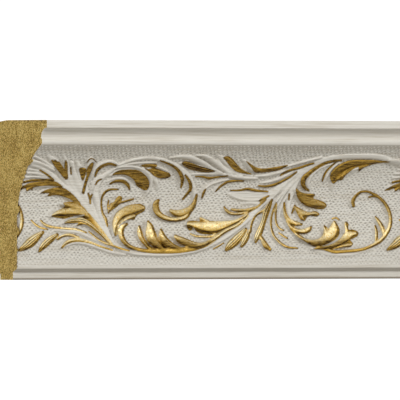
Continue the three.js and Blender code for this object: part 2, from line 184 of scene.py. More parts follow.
firstScroll = {
    "crescentBack": leaf(2.1, [(93.5, 179, 1), (95, 172.5, 2.2), (99.5, 166.5, 2.8), (106, 163, 2.8),
        (113, 162.6, 2.6), (119, 165, 1.6)]),
    "crescent": leaf(2.5, [(95.3, 176.3, 0.9), (97.3, 171, 1.5), (101, 167.2, 1.7), (105, 165.3, 1.7),
        (110, 164.2, 1.6), (116, 165.7, 1)], gilded=0.75),
    "lowLeaf": leaf(1.8, [(93.5, 189, 1.3), (95.5, 182.5, 2), (100, 178, 2.2), (107, 175.4, 2),
        (113, 174.5, 1.4)], hollow=True),
    "lowThread": leaf(2.1, [(95.7, 184.5, 0.7), (98, 181, 0.8), (101.5, 179.3, 0.6)], gilded=0.7),
    "leafGold": leaf(2.4, [(111, 176, 1.3), (118, 172.7, 2.8), (126, 172, 3.6), (134, 174, 5),
        (141, 178.3, 5.8), (146, 184, 4.6), (146.5, 191, 2)], hollow=True),
    "leafRim": leaf(2.4, [(115, 169, 0.9), (125, 167, 1.5), (135, 167.2, 1.8), (143, 170, 1.8),
        (149.5, 175.5, 1.8), (152, 182, 1.7), (150.7, 189, 1.5), (147, 195, 1)]),
    "lobeRight": leaf(1.9, [(143, 168, 1.6), (149, 172, 2.4), (154.5, 178, 2.8), (157.5, 184.5, 1.8),
        (158, 189.5, 0.8)]),
    "eyeGold": leaf(2.3, [(110, 184, 0.9), (114, 182, 1.6), (119, 181, 2), (124, 182, 2.3), (127.5, 185, 2),
        (129.3, 189.3, 1)], gilded=0.7, hollow=True),
    "eyeRim": leaf(2.2, [(109, 182, 0.8), (114, 179.2, 1.2), (120, 178, 1.4), (126, 179.3, 1.4),
        (130.3, 183.3, 1.3), (131.5, 189, 0.9)]),
    "thread": leaf(1.9, [(107.3, 226, 0.9), (105.3, 218.5, 1.7), (102.6, 213, 1.2), (101.4, 206, 1),
        (101.6, 199, 1), (104, 193.5, 1.2), (108, 190.4, 1.3), (112, 189.4, 1.1),
        (118, 189.4, 0.7)], gilded=0.75),
    "bud": leaf(2.2, [(109, 212, 0.9), (112, 206.3, 2.4), (116.3, 201.5, 2.6), (120, 198, 1.8),
        (121.5, 195.5, 0.8)]),
    "budTail": leaf(1.9, [(117, 203.7, 1), (125, 201.3, 1.2), (133, 199, 0.9)], gilded=0.7),
    "budBack": leaf(1.8, [(108.4, 200.5, 0.7), (107.8, 206, 0.9), (108.5, 213, 0.8)], gilded=0.7),
    "heart": leaf(3.3, [(115.3, 236.5, 1.2), (114.8, 229, 2), (117, 220.5, 3.6), (121.5, 214.3, 4.6),
        (128, 211, 5.2), (135, 209.3, 4.8), (141, 208.4, 3.6), (145.3, 208, 1.4)]),
    "heartLobe": leaf(2.3, [(119, 226, 1.3), (124, 221, 2), (130.5, 217.5, 2), (136, 216, 1.2)]),
    "hookLarge": leaf(2.6, [(126.6, 224, 1.2), (122.8, 226.4, 2.3), (120.6, 231, 2.8), (121.6, 237, 2.6),
        (125.3, 242.8, 2.1), (131, 247, 1.7), (140, 249.4, 1.4), (150, 250.3, 1)], gilded=0.95),
    "hookSmall": leaf(2.5, [(138.9, 226.3, 1.1), (139.2, 231.5, 2.4), (141, 237.5, 2.4),
        (144.8, 243.3, 1.9), (149.5, 247.8, 1.4), (156, 250, 1)], gilded=0.95),
    "lobeTall": leaf(3.6, [(147.8, 221.8, 1.3), (149.4, 226.5, 3.4), (150, 232, 5), (152, 238.3, 5.2),
        (157, 244.5, 4), (164, 249.5, 2.2)], gilded=0.95),
    "lobeShort": leaf(3.4, [(160.6, 230, 1.3), (161.4, 235, 3), (164.3, 240.5, 3.9), (169.5, 245, 3.5),
        (175.5, 247.6, 2.4), (181, 248.6, 1.2)], gilded=0.95),
    "innerCurl": leaf(3, [(189.5, 212.3, 1.2), (186, 216.6, 1.8), (180, 219, 2.1), (172, 219.5, 2.3),
        (163.5, 217.3, 2.6), (157.7, 213.1, 3), (155.3, 207.6, 3.3), (155.8, 203.2, 2.8),
        (157.8, 200.3, 1.4)], gilded=0.92),
    "innerLeaf": leaf(3, [(196, 195, 1), (194.4, 201, 1.7), (191.6, 206.8, 2.8), (186.5, 211.2, 3.7),
        (180, 213.5, 3.9), (174.3, 212.7, 2.9), (170, 210.6, 1.3)], gilded=0.95),
    "lash": leaf(2.6, [(160, 161, 0.7), (167, 163.5, 1), (173, 166.6, 1.3), (178, 171, 1.7),
        (181.3, 177, 2), (181.7, 182, 1.5), (180.4, 187.3, 0.8)], gilded=0.85),
    "fin": leaf(2.6, [(185, 175.5, 0.9), (188, 180, 1.4), (190, 185, 1.7), (189.5, 190, 1.5),
        (186.5, 194, 1.3), (182.3, 199, 1)], gilded=0.85),
    "mask": leaf(1.9, [(144, 168, 1.4), (150, 170.8, 2.6), (156.5, 173.8, 3.6), (163, 175, 3.4),
        (170.5, 175, 1.8)], hollow=True),
    "maskRim": leaf(2.3, [(140.5, 165.5, 0.9), (148, 165.3, 1.2), (157, 166.7, 1.3), (164, 169.3, 1.3),
        (169.5, 172.5, 1.3), (172, 177.5, 1)]),
}

middleLeaves = {
    "lowLeaf": leaf(3.4, [(174.8, 236, 1.4), (179, 239.4, 3.2), (185, 242.2, 3.6), (191.5, 244.4, 3.2),
        (198.5, 245.2, 2.6), (205.5, 243.2, 1.9), (211.5, 239, 1.2)], gilded=0.95),
    "banner": leaf(3.4, [(187.5, 224, 1.6), (196, 225.7, 3.6), (206, 227, 5.2), (216, 226.8, 5.6),
        (226, 224.3, 4.4), (236, 220.8, 2.9), (243, 217.3, 2), (249, 213.5, 1.2)]),
    "bannerSpike": leaf(2.5, [(199.3, 216.8, 0.8), (203, 219.5, 1.6), (208, 222, 2.2)]),
    "bannerThread": leaf(1.8, [(189.7, 233.7, 0.7), (195, 235.8, 1), (203, 236.6, 1.1), (211, 236.1, 1),
        (216, 233.5, 0.7)], gilded=0.8),
    "tinyThread": leaf(1.5, [(213, 248.8, 0.7), (218, 246, 0.8), (223, 243, 0.7)], gilded=0.7),
    "upperBand": leaf(1.9, [(192, 174.3, 0.8), (204, 174, 1.4), (216, 174.3, 1.4), (227, 174.8, 1.2)]),
    "upperThread": leaf(2, [(195, 176.6, 0.8), (203, 177, 1.3), (208.5, 178.3, 2), (214, 177.5, 1.4),
        (227, 176, 0.8)], gilded=0.6),
    "spine": leaf(2.2, [(214, 172, 1.3), (225, 174.7, 1.8), (238, 177.3, 2), (250, 178.3, 2),
        (258, 178.5, 1.4)]),
    "twig": leaf(2, [(201, 198.7, 0.9), (202.7, 193.5, 1.5), (205.5, 188.7, 1.5), (212, 184, 1.6),
        (220, 181.3, 1.7), (228, 179.5, 1.7)]),
    "twigGold": leaf(2.1, [(201.3, 198, 0.6), (203, 193, 1.1), (204.7, 189.5, 0.7)], gilded=0.9),
    "twigLower": leaf(2.1, [(215, 191.5, 0.6), (219, 187.2, 1.1), (223, 184.2, 1.5), (227, 182, 1.7),
        (233, 181, 1.5), (243, 181, 0.9)], gilded=0.65),
    "barb": leaf(2.2, [(258, 185.8, 0.8), (265, 186.4, 1.4), (272, 185.3, 1.7), (280, 182, 1.5),
        (289, 177, 1.3), (296, 172, 0.8)], gilded=0.7),
    "barbLeaf": leaf(1.9, [(261, 183, 0.8), (271, 181.5, 1.8), (283, 177, 2.2), (295, 170, 2)]),
    "podRidge": leaf(2.1, [(230, 190.4, 0.7), (239, 190.3, 1), (247, 189, 1.5), (255, 190.5, 1.5),
        (267, 191.6, 0.8)], gilded=0.75),
    "podTop": leaf(1.9, [(229, 193.3, 0.8), (245, 192.6, 1.2), (261, 193.2, 1.2), (273, 190.7, 1.5)]),
    "podFoot": leaf(1.9, [(229, 194.5, 0.8), (238, 198.3, 1.4), (248, 200.3, 1.5), (260, 199.5, 1.5),
        (270, 195.5, 1.5), (279, 190, 1.5)]),
    "podFloor": leaf(0.9, [(232, 194.5, 1.6), (246, 196.5, 3.6), (262, 196, 3.6), (274, 192, 2.2)]),
    "podSecond": leaf(1.8, [(242, 203.8, 1), (250, 203, 1.8), (259, 203, 1.8), (269, 198.5, 1.6),
        (279, 191, 1.4)], hollow=True),
    "podTip": leaf(2.1, [(259, 201, 0.8), (262.3, 198.9, 1.3), (268, 196, 0.9)], gilded=0.75),
    "podDrop": leaf(2, [(260, 200.5, 0.6), (260.6, 203.5, 0.9)], gilded=0.8),
    "cupLower": leaf(2.2, [(223.5, 207, 0.9), (226, 210.7, 1.6), (231, 213.6, 1.6), (238, 214, 1.4),
        (246, 212.3, 1.3), (257, 206.5, 1.1), (265, 199.5, 1)], gilded=0.8),
    "cupUpper": leaf(2.2, [(231, 209.3, 1), (238, 210.3, 1.7), (246, 210.1, 1.7),
        (254, 207.7, 1.1)], gilded=0.85),
    "quillLeft": leaf(2.4, [(244.8, 229.7, 1.9), (240.3, 235, 3.8), (234.6, 240.8, 4.6), (229, 246.2, 3.8),
        (225.7, 249.8, 1.6)], gilded=0.95, ribs=4),
    "quillRight": leaf(2.3, [(248.6, 231, 1.3), (246.6, 236, 2.5), (243.8, 241.5, 2.8),
        (241, 246, 1.5)], gilded=0.9, ribs=3),
    "quillStem": leaf(2.2, [(250, 232, 1), (250.5, 226, 1.2), (252, 221, 1.3), (254.5, 216.5, 1.3),
        (258.5, 213, 1.4), (263, 210.6, 1.5), (267, 207, 1.6), (271.3, 200.7, 1)], gilded=0.75),
    "plume": leaf(2.6, [(271.3, 200, 0.9), (268.4, 206, 2.3), (265.6, 212.5, 3), (263.3, 220.5, 2.4),
        (261, 227, 2.8), (258.5, 233, 3.3), (256, 238.7, 2.6), (255, 242, 1.1)], gilded=0.95, ribs=3),
    "plumeTip": leaf(2.3, [(261, 237, 1), (263, 242, 2.2), (265.8, 246.3, 2.5),
        (269.6, 249.6, 1.3)], gilded=0.95),
    "plumeMark": leaf(1, [(269, 249.5, 0.7), (275, 245.5, 0.6)]),
    "plumeThread": leaf(2, [(275.6, 203, 0.8), (272.8, 210, 1.1), (271, 216, 1.2), (270.2, 222, 1.2),
        (270.8, 228, 1.2), (273, 235, 1.3), (277, 240.3, 1.3), (282, 244.6, 1.3), (288, 247.4, 1.2),
        (297, 248.3, 0.8)], gilded=0.75),
    "plumeSpur": leaf(1.8, [(276, 205, 0.8), (275.2, 214, 0.9), (275.3, 221, 1.2), (277, 226, 1.2),
        (280, 229, 1), (283.3, 230.5, 0.7)], gilded=0.7),
    "plumeDash": leaf(1.5, [(278.3, 233, 0.6), (282, 235.5, 0.9), (287, 238.5, 0.7)], gilded=0.8),
    "veinFirst": leaf(2.1, [(267, 207, 1), (275, 195.3, 1.5), (285, 184.5, 1.7), (298, 173, 1.8)]),
    "veinSecond": leaf(2.1, [(270.5, 217, 1), (275.5, 204, 1.4), (283.5, 192.5, 1.7), (293, 182, 1.8)]),
    "veinThird": leaf(2.1, [(275.5, 212, 1), (281, 200, 1.5), (288, 189.5, 1.7), (297, 179, 1.8)]),
    "veinFourth": leaf(1.9, [(279.5, 220, 0.9), (281, 209, 1.3), (286, 198, 1.5), (293, 187, 1.7)]),
    "veinMark": leaf(2.1, [(288.7, 194, 0.7), (288.3, 199.5, 0.8)], gilded=0.8),
}

secondScroll = {
    "hook": leaf(2.4, [(283.7, 203, 0.9), (284, 210, 1.4), (285.5, 216, 1.9), (289, 220.8, 2.3),
        (294.5, 223.4, 2.4), (301, 224.4, 1.2)], gilded=0.9),
    "hookLower": leaf(2.6, [(286.3, 221, 1), (290, 226, 1.7), (294.5, 229.6, 1.9), (300, 231.4, 2.2),
        (305, 231.2, 2.7), (308.6, 229.3, 2.4), (310.5, 227.3, 1.2)], gilded=0.92),
    "leaf": leaf(3.5, [(297, 234.5, 1), (303, 239.3, 1.8), (311, 242.3, 3), (319, 242.7, 3.6),
        (326, 239.8, 4.6), (331.5, 235, 5.6), (334.3, 229.5, 4.8), (334.7, 224.5, 2.6), (334, 220.5, 0.9)]),
    "leafSpike": leaf(2.6, [(324.3, 225.3, 0.9), (324.8, 229, 1.6), (326.5, 234, 2.4)]),
    "flame": leaf(3.3, [(313, 249, 1), (322, 248, 1.7), (331, 246.3, 2.6), (339, 243, 4), (346, 238.7, 4.6),
        (351.5, 235, 3.4), (358, 233.7, 1.2)]),
    "flameFinger": leaf(2.5, [(346, 221.8, 0.9), (346.3, 227, 1.7), (347, 233, 2.8)]),
    "flameFoot": leaf(2.3, [(335, 249, 1.2), (344, 246.5, 2), (353, 245, 1)]),
    "lashLeft": leaf(2.2, [(375.7, 217, 0.8), (378, 220, 1.4), (381.3, 225, 1.9), (383.8, 231, 1.9),
        (385, 237, 1.3)], gilded=0.9),
    "lashRight": leaf(2, [(375.4, 226, 0.8), (376.6, 231, 1.4), (376.8, 238, 1.5),
        (375.8, 243.5, 1.1)], gilded=0.9),
    "tinyArc": leaf(1.2, [(332, 218.8, 0.7), (335.5, 217.9, 0.8), (339, 219.8, 0.7)], gilded=0.8),
    "palm": leaf(3.1, [(295.5, 189, 1.2), (299, 194.5, 3.2), (305, 199.5, 4.6), (312, 202.5, 4.8),
        (319, 204.5, 3.6), (325.5, 205.8, 1.8)]),
    "palmTop": leaf(2.8, [(298.5, 190.7, 1.2), (306, 194.4, 1.6), (315, 195, 1)]),
    "bud": leaf(2.5, [(294.5, 206.5, 1), (298, 210.7, 2.4), (303, 213.7, 3.2), (309, 214.2, 2),
        (315, 213.6, 1.7), (319, 214.6, 1.2)]),
    "budFoot": leaf(2.3, [(299, 214.5, 1.6), (303, 218.7, 1.8), (305, 221, 0.8)]),
    "budHook": leaf(2, [(291.5, 213, 0.8), (293, 208.7, 0.9), (294.3, 205.3, 0.7)], gilded=0.8),
    "crest": leaf(2.4, [(308, 190.3, 0.9), (304.3, 187.6, 1.8), (302.4, 183, 2.4), (303.6, 178.2, 2.5),
        (307.6, 174, 2.1), (312.5, 170.2, 1.8), (318, 166.6, 1.5), (325, 163, 1.3), (333, 161, 1.1),
        (341, 160.2, 0.8)], gilded=0.9),
    "crestInner": leaf(2, [(336, 161.8, 0.6), (331.3, 165.8, 0.9), (327, 170, 1), (324, 174.8, 1),
        (322, 181, 0.7)], gilded=0.75),
    "crestLeaf": leaf(1.8, [(340, 162.5, 1), (332, 168.5, 1.8), (327.5, 175, 2), (325, 182, 1.2)]),
    "crestBack": leaf(2, [(333, 163.6, 1), (320, 168.5, 1.8), (311.5, 176, 2.2), (308.7, 184, 1.8),
        (310.5, 190, 0.9)]),
    "crown": leaf(2.5, [(333.5, 183.5, 1.2), (333.3, 177, 3), (337, 171.3, 3.8), (343, 167, 3.8),
        (350.5, 164, 3.6), (358, 162.7, 2.8), (368, 162, 2.1), (378, 161.8, 1.5),
        (391, 161.8, 0.9)], hollow=True),
    "crownLobe": leaf(2.3, [(338, 179.7, 0.9), (344, 175.3, 2), (352, 170.3, 2.2), (360, 168, 1.6),
        (370, 165, 1)]),
    "crownTip": leaf(1.9, [(333, 181, 2.2), (333, 186, 1.6), (333.2, 190, 0.8)]),
}

lowerLeaves = {
    "quillFirst": leaf(2.4, [(43.5, 232, 1.4), (38, 236.3, 3.4), (31.5, 241.8, 4.6), (25.5, 246.6, 3.2),
        (20, 250, 1)], gilded=1, ribs=4),
    "quillSecond": leaf(2.3, [(57.5, 234.7, 1.6), (52, 238.5, 2.8), (46.3, 243.4, 3.2), (41.7, 248.6, 1.9),
        (40, 251, 0.9)], gilded=1, ribs=3),
    "brow": leaf(2, [(58, 239, 0.9), (62, 236.3, 1.2), (67, 234.7, 1.4), (73, 235.2, 1.3),
        (79, 237.3, 0.9)], gilded=0.9),
    "browStem": leaf(1.7, [(78, 237, 1.2), (90, 241, 1.5), (102, 245.6, 1.5), (114, 250.5, 1.3)]),
    "runner": leaf(2.2, [(62.5, 247.3, 0.9), (65.5, 243.6, 1.7), (70, 241, 2.1), (76, 239.7, 2.1),
        (83, 240.2, 1.8), (91, 242.3, 1.3), (100, 245.8, 0.9), (112, 249.8, 0.7)], gilded=0.85),
    "runnerStem": leaf(1.7, [(66, 246, 1), (74, 243, 1.6), (84, 243, 1.8), (97, 247, 1.8), (112, 252, 1.6),
        (126, 254.5, 1.4)]),
    "threadLong": leaf(1.7, [(41.5, 220.5, 0.8), (46, 224.5, 1.2), (52, 226.6, 1.2), (60, 227.6, 1),
        (68, 228.4, 1), (76, 229, 1.1), (86, 232.3, 0.8)], gilded=0.85),
    "threadStem": leaf(1.5, [(56, 230, 1.2), (68, 231, 1.8), (80, 232.5, 2), (92, 238, 2), (104, 243, 1.6),
        (114, 247, 1.2)]),
    "threadShort": leaf(1.5, [(32, 220, 0.7), (36, 224, 1), (41, 227.2, 1), (48, 229, 0.7)], gilded=0.8),
    "threadNext": leaf(1.8, [(89, 231.5, 0.7), (93, 234.8, 0.9), (98, 239, 1), (105, 242.8, 1),
        (113, 245.3, 0.8)], gilded=0.8),
    "stemRidge": leaf(2.9, [(89, 200, 0.8), (96, 214, 0.9), (105, 232, 0.9), (115, 247, 0.7)]),
    "stemRidgeNext": leaf(2.8, [(95, 194, 0.7), (100.5, 210, 0.8), (108.5, 229, 0.8), (116, 243, 0.7)]),
    "threadLast": leaf(2.3, [(112, 245, 0.9), (120, 248.1, 1), (129, 250.5, 0.7)], gilded=0.8),
    "fan": leaf(2.9, [(52.3, 216, 1), (57, 213.8, 2.4), (63, 212.4, 3.6), (70, 211.8, 4), (78, 212.2, 3.6),
        (85, 214.3, 2.6), (90, 217.5, 1.4)]),
    "fanTop": leaf(3, [(63.3, 203.8, 1.3), (68, 205, 2.6), (75, 206.8, 3.4), (82, 209.6, 2.8),
        (88, 214, 1.6)]),
    "fanRim": leaf(1.2, [(54, 217, 0.8), (57, 219.5, 1), (62, 220.5, 1), (67.5, 218.7, 0.8)]),
    "spray": leaf(2.7, [(64.7, 223.2, 1), (70, 221, 2.4), (77, 220, 3.4), (84, 221, 3.6), (90, 224, 3),
        (97, 229.5, 2.2), (104, 236.5, 1.6), (113, 246, 1.1)], ribs=3),
    "sprayLobe": leaf(2.2, [(76, 225.3, 0.9), (81, 223.5, 1.6), (88, 224, 2)]),
}

# Stamped arcs that show as fine grooves in the ground: depth in mm, then the points.
stamped = {
    "heartArc": (0.35, [(148, 207, 0.8), (146, 214, 0.8), (141, 219, 0.7), (135, 222, 0.6)]),
    "palmArc": (0.35, [(332, 204, 0.7), (329, 209, 0.8), (323, 212.5, 0.7)]),
}

# Outlines of the gilded faces that cover only part of a leaf, as (u, v).
gildedFaces = {
    "goldLow": [(22.5, 187.3), (27, 185), (33, 182.8), (42, 182), (50, 181.4), (57, 182.3), (63, 187.3),
        (57, 186.2), (48, 185.6), (40, 186.3), (33, 188), (28, 191), (27.5, 188.5), (30, 186.3)],
    "goldHigh": [(41.5, 193.5), (46, 190.5), (52, 188.6), (58, 187.6), (64, 188.3), (70, 192), (76, 197.7),
        (81, 205), (80, 207), (75, 202), (69, 198.3), (62, 196), (56, 195), (48.5, 196), (50, 193.3),
        (45, 193.2)],
    "fingers": [(53, 161.6), (56.3, 161.4), (60, 163), (63.5, 168), (65.2, 170.5), (65.6, 162.5),
        (67.3, 162.3), (67.9, 172), (68, 178.6), (66, 179), (60, 172.5)],
    "patch": [(80, 168.7), (85.8, 168.7), (86, 171.5), (84.7, 177.3), (82.9, 180.5), (80.8, 175)],
    "patchBlade": [(92.2, 163), (93.6, 163), (92.2, 169), (89.3, 176), (86.3, 185), (83.8, 194),
        (82.6, 193), (84.5, 184), (87, 175), (87.3, 169.5)],
    "leafGold": [(112.5, 175.2), (116, 172.2), (120, 170.6), (130, 169.8), (138, 170.8), (143, 173.8),
        (147, 178), (148.6, 183), (148, 188), (145, 190.3), (141, 188.6), (136.3, 185.5), (134.6, 181.5),
        (131.5, 178), (127, 175.6), (121, 174.6), (116, 174.9)],
    "bud": [(109.5, 211.5), (110.5, 203.3), (113.5, 202.3), (116.5, 198), (119.3, 196), (121.7, 197.5),
        (121.2, 200.5), (119, 204.3), (114, 208.3)],
    "heart": [(115.3, 236), (113, 229), (112.7, 221), (115.5, 214), (120.5, 209.3), (127, 205.8),
        (135, 204.2), (141, 204.4), (144.6, 207.5), (143.5, 211), (138.5, 213.7), (135.3, 216.3),
        (134, 219.2), (128, 219.3), (122.5, 221.8), (118.7, 225.5), (117, 231)],
    "mask": [(144.5, 168.3), (149, 169.5), (153, 168), (158, 169.5), (163.5, 171.6), (168.5, 173.3),
        (170, 175.8), (167, 178), (160, 178.4), (154.5, 176.3), (149.5, 172)],
    "maskTop": [(141, 165.6), (147, 164.4), (156.5, 165.2), (155, 167.5), (150, 167.3), (144, 167.2)],
    "frond": [(181.5, 163.6), (184, 161.8), (190, 163), (198, 166), (207, 168.5), (214, 171.3),
        (206, 172.3), (196, 171), (187, 168.3)],
    "sword": [(223, 157.8), (227, 156.4), (231, 158.5), (235.5, 163.5), (241, 169.3), (251, 174.2),
        (243, 173.3), (235, 171), (229, 165.5), (225.5, 161)],
    "wing": [(245.8, 161.3), (251, 164.8), (256, 167.7), (263, 168.6), (273, 167.5), (287, 165.3),
        (279, 169.7), (268, 171.8), (259.5, 172.6), (254.5, 172.3), (251, 168)],
    "banner": [(186.8, 222.3), (192, 220.8), (199.5, 221.3), (199, 217.3), (203.5, 218.7), (209, 220.8),
        (217, 221.3), (225, 220.9), (233, 220.2), (240, 217.3), (248, 213.3), (241, 221.3), (232, 226.6),
        (224, 230.7), (216, 233.3), (208, 234.3), (200, 233.2), (195.5, 230.8), (192.7, 226.5),
        (190.3, 230.3), (187.3, 229)],
    "leaf": [(297.5, 235), (303, 238.2), (311, 240), (318, 239), (322, 236), (323.6, 231), (323.8, 225.3),
        (325.6, 226.5), (328, 228.8), (331, 224.8), (334, 220.8), (337.3, 225), (339.3, 230), (338.8, 235),
        (335.5, 239.3), (330, 242.6), (323, 245.6), (315, 246.6), (306, 242.4)],
    "flame": [(313.5, 248.7), (322, 247.3), (331, 244.6), (338.5, 240.3), (343, 235.3), (345.3, 231.3),
        (344.6, 226), (345.3, 221.8), (347.8, 223), (348.5, 229.7), (353, 230), (357.8, 232.4),
        (357.8, 235.6), (353.5, 238.2), (350, 240), (352.7, 243.8), (350.5, 246.6), (343, 247.2),
        (335, 248.8), (325, 249.8)],
    "palm": [(295.8, 188.3), (299.3, 191.6), (304.5, 193.4), (314.5, 194.6), (312.6, 198), (319.5, 200.6),
        (325.3, 203.6), (326, 206.3), (323, 208.8), (312, 207.9), (305, 205.4), (300, 201.4), (296.7, 196)],
    "budSecond": [(294.8, 206.4), (299.5, 208.6), (304.5, 211.3), (310, 212.2), (315, 211.4), (319, 214.5),
        (316, 216.3), (309.5, 215.6), (306.3, 217.3), (304.3, 220.6), (301, 220), (298, 215.5),
        (295.5, 210.5)],
    "crown": [(333, 183.3), (330.7, 180), (329.8, 176.3), (331.3, 172), (335, 167.7), (340, 164.2),
        (346, 161.3), (353, 160), (370, 159.8), (390, 161.9), (378, 163), (370, 165), (363, 167.9),
        (358.6, 171.2), (358.8, 166.7), (354.5, 168), (349, 171.8), (345, 175.5), (341.6, 179.7),
        (337.5, 180.4)],
    "fan": [(52.3, 215.8), (55, 212.7), (60, 209.7), (64, 207.7), (65.6, 205.7), (63.8, 203.3), (68, 202),
        (73.5, 202.2), (78.5, 203.7), (82.5, 206.3), (86.5, 210.6), (89, 215), (84, 214.3), (76, 215.3),
        (70, 217), (65, 218.4), (59.5, 217.7)],
    "spray": [(64.8, 223), (69, 219.7), (78, 217.8), (84, 216), (88, 213), (93, 217.8), (100, 226.5),
        (107, 236), (113.5, 245.5), (107, 241), (99, 233.8), (91, 227.3), (84.5, 224), (77.3, 225.4),
        (79, 222.8), (71, 223)],
    "edgeLeaf": [(385.3, 190.2), (389, 188), (393.5, 186), (401, 185.3), (401, 190), (398, 188.5),
        (395.8, 191.3), (394.6, 188.3), (390, 189.8)],
}

leaves = [each for group in (stems, crownLeaves, firstScroll, middleLeaves, secondScroll, lowerLeaves)
          for each in group.values()]

# Form of the skin's surface. Units are those of the drawing, unless a note says mm.
skin = {
    "columnStep": 0.53,  # mm between columns of the mesh
    "rowStep": 0.53,
    "wall": 1.5,  # units over which a leaf's edge rises
    "wallStart": 0.25,  # units outside its outline where it starts to rise
    "thinWall": 1.1,  # the most that the wall takes of a thin leaf, against its half width
    "thinLeaf": 1.8,  # half width under which a leaf stands lower
    "thinnest": 0.3,  # share of that half width under which it gets no lower
    "hollowing": 0.42,  # how far a hollow leaf's middle sinks, as a share of its rise
    "shoulder": 0.4,  # height of a crowned leaf's shoulder, as a share of its rise
    "crown": 0.97,  # how fully its crown is round, under 1 so that it meets the shoulder at a slope
    "ribStart": (0.1875, 0.625),  # start and span of the ribs, as shares of a leaf's height
    "grooveEdge": (1.4, -1),  # start and span of a stamped groove's side, against its half width
    "grooveReach": 3,  # units each side of its line that a groove may change
    "softening": 6,  # power that joins leaves where they cross
    "pressing": 0.55,  # mesh steps over which the press has softened the carving
    "grainAcross": 4,  # pitch of the pressed grain, in units
    "grainDown": 4.8,
    "grainWander": 0.36,  # units that the grain strays from its rows
    "wanderLengths": (7, 11, 17, 26, 40),  # units between one stray and the next
    "giltReach": 2.5,  # units kept each side of a gilded edge
}

# Where the grain, the painted shade on the paint and the gilding, and the pale painted highlight on the gold
# lie.
# A pair is the start and the span of a smooth change: in rows of the drawing where the name ends in Rows, in
# mm of relief where it ends in Relief.
tones = {
    "slopeDown": 1.3,  # weights of the slope down and along the field, to tell a leaf's sides apart
    "slopeAlong": 0.6,
    "lowSideFrom": 0.08,  # slope at which a lower side starts
    "highSideFrom": 0.1,
    "grainRelief": (0, 0.4),  # the pressed grain ends here
    "grainFade": 2,  # rows over which the grain fades at the field's edges
    "grainFaint": 0.6,  # strength of the grain in the lowest rows
    "grainFullRows": (262, -6),
    "grainBold": 0.5,  # what the overhang adds to it
    "grainBoldRows": (168, -14),
    "shadeOffLeaves": 0.85,  # share of the painted shade by level that is kept off the raised leaves
    "shadeOffRelief": (0, 1.4),
    "cornerShade": 0.7,  # painted shade in a corner, for each mm that it lies under its surroundings
    "creaseSpread": 1.6,  # mesh steps
    "overhangShade": 0.8,  # painted shade on the gilding under the overhang
    "overhangRows": (231, -40),
    "overhangHighSide": 0.3,  # share of it that is left off the upper sides, which face the light
    "footShade": 0.72,  # painted shade low in the field, on the lower leaves
    "footShadeRows": (234, 8),
    "footShadeEndRows": (247, 3),
    "footShadeRelief": (1.6, 1.4),
    "footShadeLow": 0.2,  # share of it on what stands low
    "footRibs": 0.6,  # share of it that is left off the ribs
    "footHighSide": 0.4,
    "lowestShade": 0.25,  # painted shade on the lowest stems
    "lowestRows": (246, 2),
    "lowSideShade": 0.92,  # painted shade on the lower side of each leaf
    "lowSideFoot": 0.6,  # share of it that is missing at the foot of the field
    "lowSideRibs": 0.55,
    "lowSidePaintShade": 0.3,  # the same for the paint
    "groundShade": 0.75,  # painted shade where the gilding runs over a leaf's edge onto the ground
    "groundRelief": (0, 0.5),
    "mostShade": 0.92,  # share of painted shade on the gilding where it is thickest
    "overhangLess": 0.08,  # how much less that is under the overhang
    "giltMargin": 0.6,  # units outside the gilding that take its tones
    "paleHighlight": 0.95,  # pale painted highlight on the upper side of each leaf
    "highlightSide": 0.58,  # share of it on the flat
    "highlightRelief": (0, 1.2),
    "highlightFaint": 0.1,  # share of it under the overhang
    "highlightRows": (190, 24),
    "highlightFoot": 0.8,  # share of it that is missing on the lowest stems
    "highlightFootRows": (244, 4),
    "cutLine": 1.2,  # dark line along the paint's edge at the cut end
    "cutWidth": 1.4,  # units
    "cutRows": (160, 10),
}


def smooth01(x):
    x = np.clip(x, 0, 1)
    return x * x * (3 - 2 * x)


def rising(values, change):
    # 0 up to the start of a change and 1 past its span, which runs downwards if it is negative
    start, span = change
    return smooth01((values - start) / span)


def groundDepth(z):
    radius = section["hollowRadius"]
    above = np.clip(z - flatTop, 0, radius)
    return section["fieldDepth"] + radius - np.sqrt(radius**2 - above**2)


def levelOf(v):
    return fieldFoot + (drawing["footRow"] - v) * levelUnit


def rowOf(z):
    return drawing["footRow"] - (z - fieldFoot) / levelUnit


def smoothLine(points, closed=False, step=0.35):
    # a smooth line through the given points, sampled evenly enough for nearest-point tests
    p = np.array(points, float)
    if closed:
        p = np.vstack([p[-3:], p, p[:3]])
    spans = np.linalg.norm(np.diff(p[:, :2], axis=0), axis=1)
    t = np.concatenate([[0], np.cumsum(np.sqrt(spans))])
    slope = np.gradient(p, t, axis=0)
    pieces = []
    first, last = (3, len(p) - 3) if closed else (0, len(p) - 1)
    for i in range(first, last):
        count = max(2, math.ceil(spans[i] / step))
        s = np.linspace(0, 1, count, endpoint=False)[:, None]
        h = t[i + 1] - t[i]
        pieces.append((2 * s**3 - 3 * s**2 + 1) * p[i] + (s**3 - 2 * s**2 + s) * h * slope[i]
                      + (3 * s**2 - 2 * s**3) * p[i + 1] + (s**3 - s**2) * h * slope[i + 1])
    if not closed:
        pieces.append(p[-1:])
    return np.vstack(pieces)


def nearest(px, py, line):
    # distance to the line, index of its nearest sample, in batches that stay small in memory
    flatX, flatY = px.ravel(), py.ravel()
    away = np.empty(len(flatX))
    index = np.empty(len(flatX), int)
    batch = max(1, 4_000_000 // len(line))
    for a in range(0, len(flatX), batch):
        b = a + batch
        squared = (flatX[a:b, None] - line[None, :, 0]) ** 2 + (flatY[a:b, None] - line[None, :, 1]) ** 2
        index[a:b] = squared.argmin(axis=1)
        away[a:b] = np.sqrt(squared[np.arange(len(squared)), index[a:b]])
    return away.reshape(px.shape), index.reshape(px.shape)


